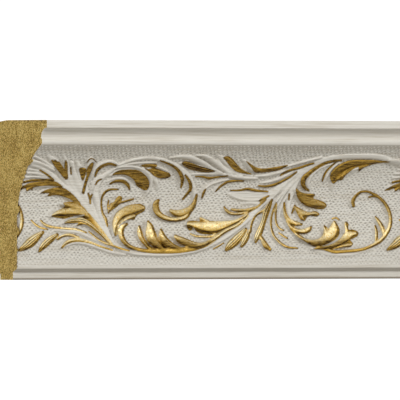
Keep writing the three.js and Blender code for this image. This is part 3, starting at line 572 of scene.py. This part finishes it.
def leafHeight(away, halfWidth, hollow):
    # share of a leaf's full rise, from the distance to its line and its half width there
    wall = np.minimum(skin["wall"], skin["thinWall"] * halfWidth)
    edge = smooth01((halfWidth - away + skin["wallStart"]) / wall)
    across = np.clip(away / halfWidth, 0, 1)
    if hollow:
        body = 1 - skin["hollowing"] * (1 - across**2)
    else:
        body = skin["shoulder"] + (1 - skin["shoulder"]) * np.sqrt(1 - skin["crown"] * across**2)
    return edge * body * np.sqrt(np.clip(halfWidth / skin["thinLeaf"], skin["thinnest"], 1))


def window(u, v, line, shift, margin):
    # columns and rows of the grid that lie near a line
    def block(values, lowest, highest):
        return slice(np.searchsorted(values, lowest), np.searchsorted(values, highest))

    cols = block(u, line[:, 0].min() + shift - margin, line[:, 0].max() + shift + margin)
    rows = block(v, line[:, 1].min() - margin, line[:, 1].max() + margin)
    return cols, rows


def copies(line, across):
    # the repeats of the scroll that reach the moulding
    shifts = [k * drawing["across"] for k in (-1, 0, 1)]
    return [s for s in shifts if line[:, 0].min() + s < across and line[:, 0].max() + s > 0]


def carve(u, v):
    # height of the carving over the field, for columns at u and rows at v, both rising
    relief = np.zeros((len(v), len(u)))
    grooves, ribs, ribbed = np.zeros_like(relief), np.zeros_like(relief), np.zeros_like(relief)
    depth = groundDepth(levelOf(v))
    power = skin["softening"]
    for each in leaves:
        line = smoothLine(each["points"])
        line[:, 0] -= np.interp(line[:, 1], v, depth) + each["rise"]
        for shift in copies(line, u[-1]):
            cols, rows = window(u, v, line, shift, line[:, 2].max() + 1)
            gridU, gridV = np.meshgrid(u[cols] - shift, v[rows])
            if not gridU.size:
                continue
            away, index = nearest(gridU, gridV, line)
            height = each["rise"] * leafHeight(away, line[index, 2], each["hollow"])
            if each["ribs"]:
                along = np.gradient(line[:, :2], axis=0)[index]
                side = along[..., 0] * (gridV - line[index, 1]) - along[..., 1] * (gridU - line[index, 0])
                over = height > relief[rows, cols]
                phase = each["ribs"] * away / line[index, 2] * np.sign(side)
                onTop = rising(height / each["rise"], skin["ribStart"])
                ribs[rows, cols] = np.where(over, phase, ribs[rows, cols])
                ribbed[rows, cols] = np.where(over, onTop, ribbed[rows, cols])
            relief[rows, cols] = (relief[rows, cols] ** power + height**power) ** (1 / power)
    for fall, points in stamped.values():
        line = smoothLine(points)
        line[:, 0] -= np.interp(line[:, 1], v, depth)
        cols, rows = window(u, v, line, 0, skin["grooveReach"])
        gridU, gridV = np.meshgrid(u[cols], v[rows])
        away, index = nearest(gridU, gridV, line)
        height = fall * rising(away / line[index, 2], skin["grooveEdge"])
        grooves[rows, cols] = np.maximum(grooves[rows, cols], height)
    return relief, grooves, ribs, ribbed


def grainPlace(u, v):
    # place of each point in the pressed grain, whose rows wander a little, in drawing units
    random = np.random.default_rng(5)
    gridU, gridV = np.meshgrid(u, v)
    placeU, placeV = gridU.copy(), gridV.copy()
    for length in skin["wanderLengths"]:
        for place in (placeU, placeV):
            turn, phase = random.uniform(0, 2 * math.pi, 2)
            wave = np.sin(2 * math.pi / length * (math.cos(turn) * gridU + math.sin(turn) * gridV) + phase)
            place += skin["grainWander"] * wave
    return placeU, placeV


def blurred(field, spread):
    # the field softened by a bell curve, with its spread in mesh steps
    reach = math.ceil(2.5 * spread)
    weights = np.exp(-0.5 * (np.arange(-reach, reach + 1) / spread) ** 2)
    weights /= weights.sum()
    for axis in (0, 1):
        wide = np.pad(field, [(reach, reach) if a == axis else (0, 0) for a in (0, 1)], mode="edge")
        size = field.shape[axis]
        field = sum(w * np.take(wide, range(i, i + size), axis) for i, w in enumerate(weights))
    return field


def giltEdge(drawnU, gridV):
    # how far inside the gilding each point is, in drawing units, negative outside it
    reach = skin["giltReach"]
    edge = np.full(drawnU.shape, -reach)
    across = drawnU.max()

    def near(line, shift, margin):
        inside = ((drawnU - shift > line[:, 0].min() - margin) & (drawnU - shift < line[:, 0].max() + margin)
                  & (gridV > line[:, 1].min() - margin) & (gridV < line[:, 1].max() + margin))
        return np.nonzero(inside)

    for each in leaves:
        if not each["gilded"]:
            continue
        line = smoothLine(each["points"])
        for shift in copies(line, across):
            at = near(line, shift, line[:, 2].max() + reach)
            away, index = nearest(drawnU[at] - shift, gridV[at], line)
            edge[at] = np.maximum(edge[at], line[index, 2] * each["gilded"] - away)
    for outline in gildedFaces.values():
        line = smoothLine(outline, closed=True)
        for shift in copies(line, across):
            at = near(line, shift, reach)
            x, y = drawnU[at] - shift, gridV[at]
            away, index = nearest(x, y, line)
            ax, ay = line[:, 0], line[:, 1]
            bx, by = np.roll(ax, -1), np.roll(ay, -1)
            with np.errstate(divide="ignore", invalid="ignore"):
                crossing = ((ay > y[:, None]) != (by > y[:, None])) & (
                    x[:, None] < (bx - ax) * (y[:, None] - ay) / (by - ay) + ax)
            inside = crossing.sum(axis=1) % 2 == 1
            edge[at] = np.maximum(edge[at], np.where(inside, away, -away))
    return np.clip(edge, -reach, reach)


def eased(before, corner, after, radius, steps=3):
    # small round in place of a corner of the section, with a support point each side
    corner = np.array(corner, float)
    toBefore = np.array(before, float) - corner
    toAfter = np.array(after, float) - corner
    toBefore /= np.linalg.norm(toBefore)
    toAfter /= np.linalg.norm(toAfter)
    start, end = corner + radius * toBefore, corner + radius * toAfter
    support = 1.6 * radius
    points = [corner + support * toBefore]
    for i in range(steps + 1):
        t = i / steps
        points.append((1 - t) ** 2 * start + 2 * t * (1 - t) * corner + t**2 * end)
    points.append(corner + support * toAfter)
    return [tuple(p) for p in points]


def sectionPath():
    # closed outline of the section as (depth, level), with the first and last rows that are carved
    s = section
    beadDepth = float(groundDepth(fieldTop))
    quirkStart = s["topDepth"] - s["quirkSetback"]
    footFront, stripEdge = (s["stripDepth"], foot), (s["stripDepth"], stripTop)
    fieldEdge, flatEnd = (s["fieldDepth"], fieldFoot), (s["fieldDepth"], flatTop)
    shelf, filletEdge = (quirkStart, filletFoot), (s["topDepth"], filletFoot)
    topFront, topBack = (s["topDepth"], top), (s["backRun"], top)
    backTop, backFoot = (0, top - s["backRise"]), (0, foot + s["rebateHeight"])
    rebateTop, rebateFoot = (s["rebateDepth"], foot + s["rebateHeight"]), (s["rebateDepth"], foot)

    path = eased(rebateFoot, footFront, stripEdge, s["footRound"])
    path += eased(footFront, stripEdge, fieldEdge, s["stepRound"])
    path += eased(stripEdge, fieldEdge, flatEnd, s["fieldRound"])
    firstField = len(path)
    flatStart = fieldFoot + s["plainFoot"]
    turns = round((flatTop - flatStart) / skin["rowStep"])
    path += [(s["fieldDepth"], flatStart + (flatTop - flatStart) * i / turns) for i in range(turns)]
    sweep = math.asin((fieldTop - flatTop) / s["hollowRadius"])
    turns = round(sweep * s["hollowRadius"] / skin["rowStep"])
    for i in range(turns + 1):
        z = flatTop + s["hollowRadius"] * math.sin(sweep * i / turns)
        path.append((float(groundDepth(z)), z))
    lastField = len(path) - 1
    for i in range(1, s["beadSteps"] + 1):
        share = i / s["beadSteps"]
        path.append((beadDepth + s["beadProud"] * math.sin(math.pi * share),
                     fieldTop + s["beadHeight"] * share))
    for i in range(1, s["quirkSteps"] + 1):
        turn = math.pi / 2 * i / s["quirkSteps"]
        path.append((beadDepth + (quirkStart - beadDepth) * (1 - math.cos(turn)),
                     beadTop + s["quirkHeight"] * math.sin(turn)))
    path += eased(shelf, filletEdge, topFront, s["shelfRound"])
    path += eased(filletEdge, topFront, topBack, s["topRound"])
    path += [topBack, backTop, backFoot, rebateTop, rebateFoot]
    return np.array(path), firstField, lastField


def shadeAtLevel(level):
    # share of painted shade on the paint, by level, where shade falls: most under the fillet and the bead, in
    # the step above the strip and on the lower edge
    stops = [(foot, 1), (foot + 1.15, 0.85), (foot + 1.5, 0.12), (stripTop - 0.5, 0.12), (stripTop, 0.5),
             (fieldFoot, 0.55), (fieldFoot + 0.5, 0.16), (flatTop, 0), (fieldTop - 12, 0.02),
             (fieldTop - 5, 0.19), (fieldTop, 0.5), (fieldTop + 0.8, 0.06), (beadTop - 0.6, 0.02),
             (beadTop + 0.6, 0.2), (filletFoot - 3, 0.17), (filletFoot, 0.24), (filletFoot + 0.4, 0.08),
             (top, 0.08)]
    return np.interp(level, *zip(*stops))


def hexColour(code):
    values = [int(code[i:i + 2], 16) / 255 for i in (1, 3, 5)]
    return [v / 12.92 if v <= 0.04045 else ((v + 0.055) / 1.055) ** 2.4 for v in values] + [1]


def addNode(tree, kind, settings=None, links=None):
    # adds a node, sets its own settings, then feeds its sockets with values or other sockets
    node = tree.nodes.new(kind)
    for name, value in (settings or {}).items():
        setattr(node, name, value)
    for name, value in (links or {}).items():
        if isinstance(value, bpy.types.NodeSocket):
            tree.links.new(value, node.inputs[name])
        else:
            node.inputs[name].default_value = value
    return node


def ramp(tree, factor, stops):
    node = addNode(tree, "ShaderNodeValToRGB", None, {"Fac": factor})
    elements = node.color_ramp.elements
    while len(elements) < len(stops):
        elements.new(1)
    for element, (place, code) in zip(elements, stops):
        element.position = place
        element.color = hexColour(code)
    return node.outputs["Color"]


def noise(tree, place, size=None, detail=2, roughness=0.5):
    # cloudy pattern with its size in mm, left out where the coordinates already have it
    scale = 1 / (size * mm) if size else 1
    node = addNode(tree, "ShaderNodeTexNoise", None, {
        "Vector": place, "Scale": scale, "Detail": detail, "Roughness": roughness})
    return node.outputs["Fac"]


def drawnOut(tree, place, length, width):
    # coordinates that draw a pattern out along the run, with its length and width in mm
    scale = [1 / (size * mm) for size in (length, width, width)]
    return addNode(tree, "ShaderNodeMapping", None, {"Vector": place, "Scale": scale}).outputs[0]


def maths(tree, operation, *values, clamp=False):
    settings = {"operation": operation, "use_clamp": clamp}
    return addNode(tree, "ShaderNodeMath", settings, dict(enumerate(values))).outputs[0]


def mapped(tree, value, start, end, toStart=0, toEnd=1, smooth=False):
    # the value carried over from one range to another, and held at its ends
    kind = "SMOOTHSTEP" if smooth else "LINEAR"
    node = addNode(tree, "ShaderNodeMapRange", {"interpolation_type": kind}, {
        "Value": value, "From Min": start, "From Max": end, "To Min": toStart, "To Max": toEnd})
    return node.outputs[0]


def blend(tree, factor, first, second):
    # mix of two colours, or of two numbers
    kind = "FLOAT" if isinstance(first, (int, float)) else "RGBA"
    node = addNode(tree, "ShaderNodeMix", {"data_type": kind}, {"Factor": factor, "A": first, "B": second})
    return node.outputs["Result"]


def newMaterial(name):
    material = bpy.data.materials.new(name)
    material.use_nodes = True
    tree = material.node_tree
    tree.nodes.clear()
    out = addNode(tree, "ShaderNodeOutputMaterial")
    shader = addNode(tree, "ShaderNodeBsdfPrincipled")
    tree.links.new(shader.outputs[0], out.inputs["Surface"])
    return material, tree, shader


def feed(tree, shader, sources):
    for name, source in sources.items():
        tree.links.new(source, shader.inputs[name])


# Ivory emulsion brushed on a pressed skin, with leaf-gilt bronze on the carving: satin paint with faint
# streaks along the run and beige painted shade in the pits, the corners and the shaded levels, and hammered
# warm metal with dark painted shade in its creases and lower sides and a pale painted highlight on its upper
# sides.
# Sizes are in mm, depths are of bump in mm, and a pair is the range of a pattern's value that it acts over.
gildedIvory = {
    "ivory": "#DCD8CE",
    "ivoryStreak": "#CAC3B5",
    # colour of the painted shade on the paint
    "shadeOnPaint": "#8A7F6E",
    "goldLight": "#FFCE56",
    "goldDeep": "#DFA22C",
    # pale painted highlight on the gold
    "goldHighlight": "#FFECB6",
    # dark painted shade on the gold
    "giltShade": "#351D00",
    "streakLength": 45,
    "streakWidth": 0.9,
    "streakRange": (0.34, 0.54),
    "paintGrain": 0.45,
    "paintGrainDepth": 0.03,
    "paintRoughness": 0.6,
    "paintShine": 0.3,
    "lensFlatness": 3,  # power that turns the grain's round bosses into lenses that lie along the run
    "pitRange": (-0.15, -1),
    "pitDepth": 0.2,
    "pitShade": 0.46,  # share of painted shade in a pit
    "pitShaded": 0.9,  # how much less that is where the paint around it is shaded too
    "pitPatch": 4,  # size of the patches where the grain is pressed deeper
    "patchRange": (0.4, 0.6),
    "patchFaint": 0.35,
    "domeRange": (0.1, 0.8),
    "domeDepth": 0.26,
    "domeLit": 2.6,  # how fully the painted shade is taken off the bosses, so that they stand lighter
    "shadedRange": (0, 0.4),  # painted shade over which the bosses go from dark to light along the rows
    "shadedLift": 0.5,
    "goldGrain": 0.9,
    "goldRange": (0.25, 0.45),
    "fleckRange": (0.36, 0.56),
    "fleckHighlight": (0.3, 1.8),  # share of the painted highlight that the darkest and the lightest grain takes
    "hammerSize": 2.2,
    "hammerDepth": 1.1,
    "ribDepth": 0.18,
    "ribShade": 0.75,  # share of painted shade in the grooves between ribs
    "brushLength": 6,
    "brushWidth": 0.8,
    "brushRange": (0.35, 0.65),
    # how much the brush streaks thin or thicken the painted shade on the gold
    "brushShade": (0.8, 1.2),
    "goldRoughness": 0.36,
    "goldShine": 0.1,
    "shadeDulls": 0.3,  # roughness that the painted shade adds
    "shadeCovers": 0.75,  # share of the metal that the painted shade hides
    "highlightWhitens": 0.6,  # share of the metal that is dull under the painted highlight
    "lacquer": 0.3,
    "lacquerRoughness": 0.26,
    "giltRagged": 0.3,  # drawing units that the gilding's edge wanders
    "giltSpread": 0.2,  # drawing units that it runs over its outline
    "giltBlur": 0.2,  # drawing units each side of the edge over which it fades
}


def gildedIvoryMaterial():
    look = gildedIvory
    material, tree, shader = newMaterial("gildedIvory")
    place = addNode(tree, "ShaderNodeTexCoord").outputs["Object"]
    paintedShade, gilt, highlit, ribs, ribbed, pitted, turnU, turnV = (
        addNode(tree, "ShaderNodeAttribute", {"attribute_name": name}).outputs["Fac"]
        for name in ("paintedShade", "gilt", "highlit", "ribs", "ribbed", "pitted", "turnU", "turnV"))

    # paint, with the pressed grain as rows of small bosses between pits, painted shade in the pits and the
    # shaded places, and the bosses left lighter
    along = drawnOut(tree, place, look["streakLength"], look["streakWidth"])
    streak = noise(tree, along, detail=3, roughness=0.65)
    paint = ramp(tree, streak, list(zip(look["streakRange"], (look["ivoryStreak"], look["ivory"]))))
    flatter = maths(tree, "POWER", maths(tree, "COSINE", turnV), look["lensFlatness"])
    lens = maths(tree, "MULTIPLY", maths(tree, "COSINE", turnU), flatter)
    lighter = mapped(tree, paintedShade, *look["shadedRange"], -look["shadedLift"], look["shadedLift"])
    wave = maths(tree, "MULTIPLY_ADD", maths(tree, "ABSOLUTE", flatter), lighter, lens)
    unevenness = noise(tree, place, look["pitPatch"], roughness=0.7)
    pressure = mapped(tree, unevenness, *look["patchRange"], look["patchFaint"], 1)
    sunk = maths(tree, "MULTIPLY", mapped(tree, wave, *look["pitRange"], smooth=True), pressure)
    pit = maths(tree, "MULTIPLY", sunk, pitted)
    domeShape = mapped(tree, wave, *look["domeRange"], 0, -look["domeLit"], smooth=True)
    domeLighting = maths(tree, "MULTIPLY", maths(tree, "MULTIPLY", domeShape, pressure), pitted)
    shadeLeft = maths(tree, "MULTIPLY_ADD", domeLighting, paintedShade, paintedShade)
    pitDarkness = maths(tree, "MULTIPLY_ADD", paintedShade, -look["pitShaded"], look["pitShade"], clamp=True)
    inPits = maths(tree, "MULTIPLY_ADD", pit, pitDarkness, shadeLeft, clamp=True)
    shadedPaint = blend(tree, inPits, paint, hexColour(look["shadeOnPaint"]))

    # gilding, with fine grooves where a leaf is ribbed, painted shade in the grooves and the shaded places,
    # and a pale painted highlight on the upper sides
    grain = noise(tree, place, look["goldGrain"], detail=3, roughness=0.6)
    wander = maths(tree, "MULTIPLY_ADD", grain, 2 * look["giltRagged"], gilt)
    edge = look["giltRagged"] - look["giltSpread"]
    mask = mapped(tree, wander, edge - look["giltBlur"], edge + look["giltBlur"], smooth=True)
    ribWave = maths(tree, "COSINE", maths(tree, "MULTIPLY", ribs, math.pi))
    groove = mapped(tree, ribWave, 0, -1, 0, look["ribShade"])
    brushMark = noise(tree, drawnOut(tree, place, look["brushLength"], look["brushWidth"]), roughness=0.6)
    streakedShade = mapped(tree, brushMark, *look["brushRange"], *look["brushShade"])
    giltShadeShare = maths(tree, "MULTIPLY_ADD", groove, ribbed, maths(tree, "MULTIPLY", streakedShade, paintedShade))
    gold = ramp(tree, grain, list(zip(look["goldRange"], (look["goldDeep"], look["goldLight"]))))
    highlightFlecks = maths(tree, "MULTIPLY", highlit, mapped(tree, grain, *look["fleckRange"], *look["fleckHighlight"]))
    highlighted = blend(tree, highlightFlecks, gold, hexColour(look["goldHighlight"]))
    shadedGold = blend(tree, giltShadeShare, highlighted, hexColour(look["giltShade"]))

    # bump height, in mm
    hammer = noise(tree, place, look["hammerSize"])
    ribHeight = maths(tree, "MULTIPLY", maths(tree, "MULTIPLY", ribWave, ribbed), look["ribDepth"])
    hammered = maths(tree, "MULTIPLY_ADD", hammer, look["hammerDepth"], ribHeight)
    onGold = maths(tree, "MULTIPLY", hammered, mask)
    raised = maths(tree, "MULTIPLY_ADD", maths(tree, "MULTIPLY", wave, pitted), look["domeDepth"], onGold)
    pressed = maths(tree, "MULTIPLY_ADD", pit, -look["pitDepth"], raised)
    paintGrain = noise(tree, place, look["paintGrain"])
    height = maths(tree, "MULTIPLY_ADD", paintGrain, look["paintGrainDepth"], pressed)
    bump = addNode(tree, "ShaderNodeBump", None, {"Height": height, "Distance": mm, "Strength": 1}).outputs[0]

    # the painted shade dulls the gold and hides its metal; the painted highlight turns it pale and matt
    dulled = maths(tree, "MULTIPLY_ADD", giltShadeShare, look["shadeDulls"], look["goldRoughness"], clamp=True)
    bareMetal = maths(tree, "MULTIPLY_ADD", giltShadeShare, -look["shadeCovers"], 1, clamp=True)
    whitened = maths(tree, "MULTIPLY_ADD", highlightFlecks, -look["highlightWhitens"], bareMetal, clamp=True)
    lacquered = maths(tree, "MULTIPLY", mask, look["lacquer"])
    shader.inputs["Coat Roughness"].default_value = look["lacquerRoughness"]
    feed(tree, shader, {
        "Base Color": blend(tree, mask, shadedPaint, shadedGold),
        "Metallic": maths(tree, "MULTIPLY", whitened, mask),
        "Roughness": blend(tree, mask, look["paintRoughness"], dulled),
        "Specular IOR Level": blend(tree, mask, look["paintShine"], look["goldShine"]),
        "Coat Weight": maths(tree, "MULTIPLY", lacquered, bareMetal),
        "Normal": bump,
        "Coat Normal": bump,
    })
    return material


# Polystyrene extruded as foam and sawn across: matt mustard with dark open cells and pale torn walls.
sawnFoam = {
    "base": "#D8B154",
    "pale": "#F7DE8E",
    "cell": "#71561F",
    "crumbSize": 0.62,  # mm
    "crumbDepth": 0.5,
    "patchSize": 9,
    "patchShade": 0.15,
    "stops": (0.48, 0.58, 0.69),  # where the cells, the foam and the torn walls lie in the pattern
    "roughness": 0.9,
}


def sawnFoamMaterial():
    look = sawnFoam
    material, tree, shader = newMaterial("sawnFoam")
    place = addNode(tree, "ShaderNodeTexCoord").outputs["Object"]
    crumb = noise(tree, place, look["crumbSize"], detail=3, roughness=0.75)
    patch = noise(tree, place, look["patchSize"])
    shade = maths(tree, "MULTIPLY_ADD", patch, look["patchShade"], crumb)
    colour = ramp(tree, shade, list(zip(look["stops"], (look["cell"], look["base"], look["pale"]))))
    bump = addNode(tree, "ShaderNodeBump", None, {
        "Height": crumb, "Distance": look["crumbDepth"] * mm, "Strength": 1})
    shader.inputs["Roughness"].default_value = look["roughness"]
    feed(tree, shader, {"Base Color": colour, "Normal": bump.outputs[0]})
    return material


def gridPlaces(path):
    # a grid in a new mesh, with the column and the row of the section's path that each vertex stands for
    rows = len(path)
    columns = round(section["length"] / skin["columnStep"])
    bm = bmesh.new()
    bmesh.ops.create_grid(bm, x_segments=columns, y_segments=rows, size=1)
    flat = np.array([v.co[:2] for v in bm.verts])
    col = np.round((flat[:, 0] + 1) / 2 * columns).astype(int)
    row = np.round((flat[:, 1] + 1) / 2 * rows).astype(int) % rows
    print("grid made,", columns, "by", rows)
    return bm, np.linspace(-section["length"] / 2, section["length"] / 2, columns + 1), col, row


def toneLayers(u, v, relief, ribbed, gilt):
    # layers: the share of painted shade on the paint and the gilding, that of the pale painted highlight on
    # the gold, and the grain's strength
    t = tones
    down = v[:, None]
    bare = 1 - rising(relief, t["grainRelief"])
    edgeFade = smooth01(np.minimum(v - v[0], v[-1] - v) / t["grainFade"])[:, None]
    pitted = bare * edgeFade * (t["grainFaint"] + (1 - t["grainFaint"]) * rising(down, t["grainFullRows"])
                                + t["grainBold"] * rising(down, t["grainBoldRows"]))

    fallDown, fallAlong = np.gradient(relief, v, u)
    slope = t["slopeDown"] * fallDown + t["slopeAlong"] * fallAlong
    lowSide = smooth01(-slope - t["lowSideFrom"])
    highSide = smooth01(slope - t["highSideFrom"])
    # painted shade on the paint: in the corners at the foot of the leaves, and by level, kept off the raised
    # leaves
    corner = np.clip(t["cornerShade"] * (blurred(relief, t["creaseSpread"]) - relief), 0, 1)
    shadeOnPaint = corner + shadeAtLevel(levelOf(v))[:, None] * (1 - t["shadeOffLeaves"] * rising(relief, t["shadeOffRelief"]))

    # painted shade on the gilding: under the overhang, low in the field, on each leaf's lower side and on the
    # ground at its foot
    overhang = rising(down, t["overhangRows"])
    nearFoot = rising(down, t["footShadeRows"]) * (1 - rising(down, t["footShadeEndRows"]))
    raised = t["footShadeLow"] + (1 - t["footShadeLow"]) * rising(relief, t["footShadeRelief"])
    giltShade = (t["overhangShade"] * overhang * (1 - t["overhangHighSide"] * highSide)
             + t["footShade"] * nearFoot * raised * (1 - t["footRibs"] * ribbed)
             * (1 - t["footHighSide"] * highSide)
             + t["lowestShade"] * rising(down, t["lowestRows"])
             + t["lowSideShade"] * lowSide * (1 - t["lowSideFoot"] * rising(down, t["footShadeEndRows"]))
             * (1 - t["lowSideRibs"] * ribbed))
    onGround = t["groundShade"] * (1 - rising(relief, t["groundRelief"]))
    most = t["mostShade"] - t["overhangLess"] * overhang
    giltShade = np.minimum(np.maximum.reduce([shadeOnPaint, giltShade, onGround]), most)

    # pale painted highlight on the upper side of each leaf
    highlit = t["paleHighlight"] * smooth01(t["highlightSide"] + slope) * rising(relief, t["highlightRelief"]) * (1 - giltShade)
    highlit *= t["highlightFaint"] + (1 - t["highlightFaint"]) * rising(down, t["highlightRows"])
    highlit *= 1 - t["highlightFoot"] * rising(down, t["highlightFootRows"])
    paintedShade = np.where(gilt > -t["giltMargin"], giltShade, shadeOnPaint + t["lowSidePaintShade"] * lowSide)
    paintedShade += t["cutLine"] * smooth01(1 - u / t["cutWidth"])[None, :] * rising(down, t["cutRows"])
    return {"paintedShade": paintedShade, "highlit": highlit, "pitted": pitted}


def closeEnds(bm, row, firstField, lastField):
    # joins the plain rows into long faces, fills both ends and gives the sawn faces the foam
    sameColumn, sameSpot = 1e-7, 1e-6  # m
    leastBackward = 0.05  # the share of a sawn back face's normal that points at the wall
    plainRows = [r < firstField or r > lastField for r in row.tolist()]
    isPlain = dict(zip(bm.verts, plainRows))
    plain = [e for e in bm.edges if isPlain[e.verts[0]] and isPlain[e.verts[1]] and not e.is_boundary
             and abs(e.verts[0].co.x - e.verts[1].co.x) < sameColumn]
    bmesh.ops.dissolve_edges(bm, edges=plain, use_verts=True)
    bmesh.ops.remove_doubles(bm, verts=bm.verts[:], dist=sameSpot)
    loops = [e for e in bm.edges if e.is_boundary]
    ends = bmesh.ops.holes_fill(bm, edges=loops, sides=0)["faces"]
    for face in ends:
        face.smooth = False
        face.material_index = 1
        for edge in face.edges:
            edge.smooth = False
    for face in bm.faces:
        centre = face.calc_center_median()
        if centre.y > -section["backRun"] * mm and face.normal.y > leastBackward:
            face.material_index = 1
    bmesh.ops.recalc_face_normals(bm, faces=bm.faces[:])
    print("ends closed,", len(ends))


def mouldingSkin():
    # one closed skin: a grid wrapped round the section, raised into the carving, with its ends filled
    path, firstField, lastField = sectionPath()
    bm, x, col, row = gridPlaces(path)
    u = (x + section["length"] / 2) / runUnit
    v = rowOf(path[firstField:lastField + 1, 1])[::-1]
    relief, grooves, ribs, ribbed = carve(u, v)
    relief = blurred(relief, skin["pressing"])
    print("leaves carved")

    proud = relief - grooves
    drawnU = u[None, :] + groundDepth(levelOf(v))[:, None] + proud
    gilt = giltEdge(drawnU, np.repeat(v[:, None], len(u), 1))
    grainU, grainV = grainPlace(u, v)
    layers = {"gilt": gilt, "ribs": ribs, "ribbed": ribbed, **toneLayers(u, v, relief, ribbed, gilt)}
    layers["turnU"] = 2 * math.pi * grainU / skin["grainAcross"]
    layers["turnV"] = 2 * math.pi * grainV / skin["grainDown"]
    # the plain rows take the painted shade by level
    outside = {"gilt": -skin["giltReach"], "paintedShade": shadeAtLevel(path[row, 1])}
    print("gilding laid out")

    inField = (row >= firstField) & (row <= lastField)
    fieldIndex = (lastField - row[inField], col[inField])
    rise = np.zeros(len(col))
    rise[inField] = proud[fieldIndex]
    place = np.stack([x[col], -(path[row, 0] + rise), path[row, 1]], axis=1) * mm
    for vert, co in zip(bm.verts, place.tolist()):
        vert.co = co
    for name, values in layers.items():
        layer = bm.verts.layers.float.new(name)
        whole = np.zeros(len(col)) + outside.get(name, 0)
        whole[inField] = values[fieldIndex]
        for vert, value in zip(bm.verts, whole.tolist()):
            vert[layer] = value
    for face in bm.faces:
        face.smooth = True
    closeEnds(bm, row, firstField, lastField)

    mesh = bpy.data.meshes.new("mouldingSkin")
    bm.to_mesh(mesh)
    bm.free()
    piece = bpy.data.objects.new("mouldingSkin", mesh)
    bpy.context.scene.collection.objects.link(piece)
    mesh.materials.append(gildedIvoryMaterial())
    mesh.materials.append(sawnFoamMaterial())
    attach(piece, "root")
    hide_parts("moulding")
    print("skin made,", len(mesh.polygons), "faces")


studio = {
    "turn": 36.87,  # degrees that the cut end is turned from the view
    "lens": 1600,
    "sensor": 36,
    "clipEnd": 100,  # m
    "frameWidth": 240,  # mm across the picture at the moulding
    "leftMargin": 0.4,  # mm between the picture's edge and the moulding
    "floorDrop": 110,  # mm from the foot to the floor
    "floorSize": 3,  # m
    "floorColour": "#DAD9D6",
    "floorRoughness": 0.9,
    "backdrop": 1.1,  # strength of the lit wall behind the moulding, then the directions that it fades over
    "backdropRange": (0.6, 0.95),
    "worldLow": 0.18,  # strength of the room low down and overhead, then the heights that it changes over
    "worldHigh": 0.52,
    "worldRange": (0.05, 0.75),
}
# Soft boxes in front of the moulding, with places and sizes in m and powers in W.
lights = {
    "keyLight": {"place": (-1.1, -1.8, 1.2), "size": (0.9, 0.5), "power": 25.5},
    "sideLight": {"place": (1.45, -1.9, 0.8), "size": (1.1, 0.7), "power": 17},
}


def camera():
    turn = math.radians(studio["turn"])
    right = Vector((math.cos(turn), -math.sin(turn), 0))
    back = Vector((-math.sin(turn), -math.cos(turn), 0))
    distance = studio["frameWidth"] * studio["lens"] / studio["sensor"] * mm
    leftEdge = -section["length"] / 2 * math.cos(turn)
    centre = (leftEdge + studio["frameWidth"] / 2 - studio["leftMargin"]) * mm
    data = bpy.data.cameras.new("camera")
    data.lens, data.sensor_width = studio["lens"], studio["sensor"]
    data.clip_end = studio["clipEnd"]
    view = bpy.data.objects.new("camera", data)
    view.location = right * centre + back * distance
    view.rotation_euler = (-back).to_track_quat("-Z", "Y").to_euler()
    bpy.context.scene.collection.objects.link(view)
    bpy.context.scene.camera = view


def softBox(name, place, size, power):
    data = bpy.data.lights.new(name, "AREA")
    data.shape, data.size, data.size_y = "RECTANGLE", size[0], size[1]
    data.energy = power
    lamp = bpy.data.objects.new(name, data)
    lamp.location = place
    lamp.rotation_euler = (-Vector(place)).to_track_quat("-Z", "Y").to_euler()
    bpy.context.scene.collection.objects.link(lamp)


# A sheet of seamless paper: matt and pale, so that the floor fades into the lit backdrop.
def floorSheet():
    bm = bmesh.new()
    bmesh.ops.create_grid(bm, x_segments=1, y_segments=1, size=studio["floorSize"] / 2)
    bmesh.ops.translate(bm, verts=bm.verts[:], vec=(0, 0, (foot - studio["floorDrop"]) * mm))
    mesh = bpy.data.meshes.new("floor")
    bm.to_mesh(mesh)
    bm.free()
    floor = bpy.data.objects.new("floor", mesh)
    material, tree, shader = newMaterial("floorPaper")
    shader.inputs["Base Color"].default_value = hexColour(studio["floorColour"])
    shader.inputs["Roughness"].default_value = studio["floorRoughness"]
    mesh.materials.append(material)
    bpy.context.scene.collection.objects.link(floor)


def room():
    world = bpy.data.worlds.new("studio")
    bpy.context.scene.world = world
    world.use_nodes = True
    tree = world.node_tree
    tree.nodes.clear()
    turn = math.radians(studio["turn"])
    ray = addNode(tree, "ShaderNodeTexCoord").outputs["Generated"]
    behind, above = (
        addNode(tree, "ShaderNodeVectorMath", {"operation": "DOT_PRODUCT"}, {0: ray, 1: way}).outputs["Value"]
        for way in ((math.sin(turn), math.cos(turn), 0), (0, 0, 1)))
    backdrop = mapped(tree, behind, *studio["backdropRange"], 0, studio["backdrop"], smooth=True)
    sky = mapped(tree, above, *studio["worldRange"], studio["worldLow"], studio["worldHigh"], smooth=True)
    background = addNode(tree, "ShaderNodeBackground", None, {
        "Color": (1, 1, 1, 1), "Strength": maths(tree, "MAXIMUM", backdrop, sky)})
    addNode(tree, "ShaderNodeOutputWorld", None, {"Surface": background.outputs[0]})


camera()
mouldingSkin()
floorSheet()
room()
for lightName, light in lights.items():
    softBox(lightName, light["place"], light["size"], light["power"])
bpy.context.scene.view_settings.view_transform = "Standard"
print("studio set")
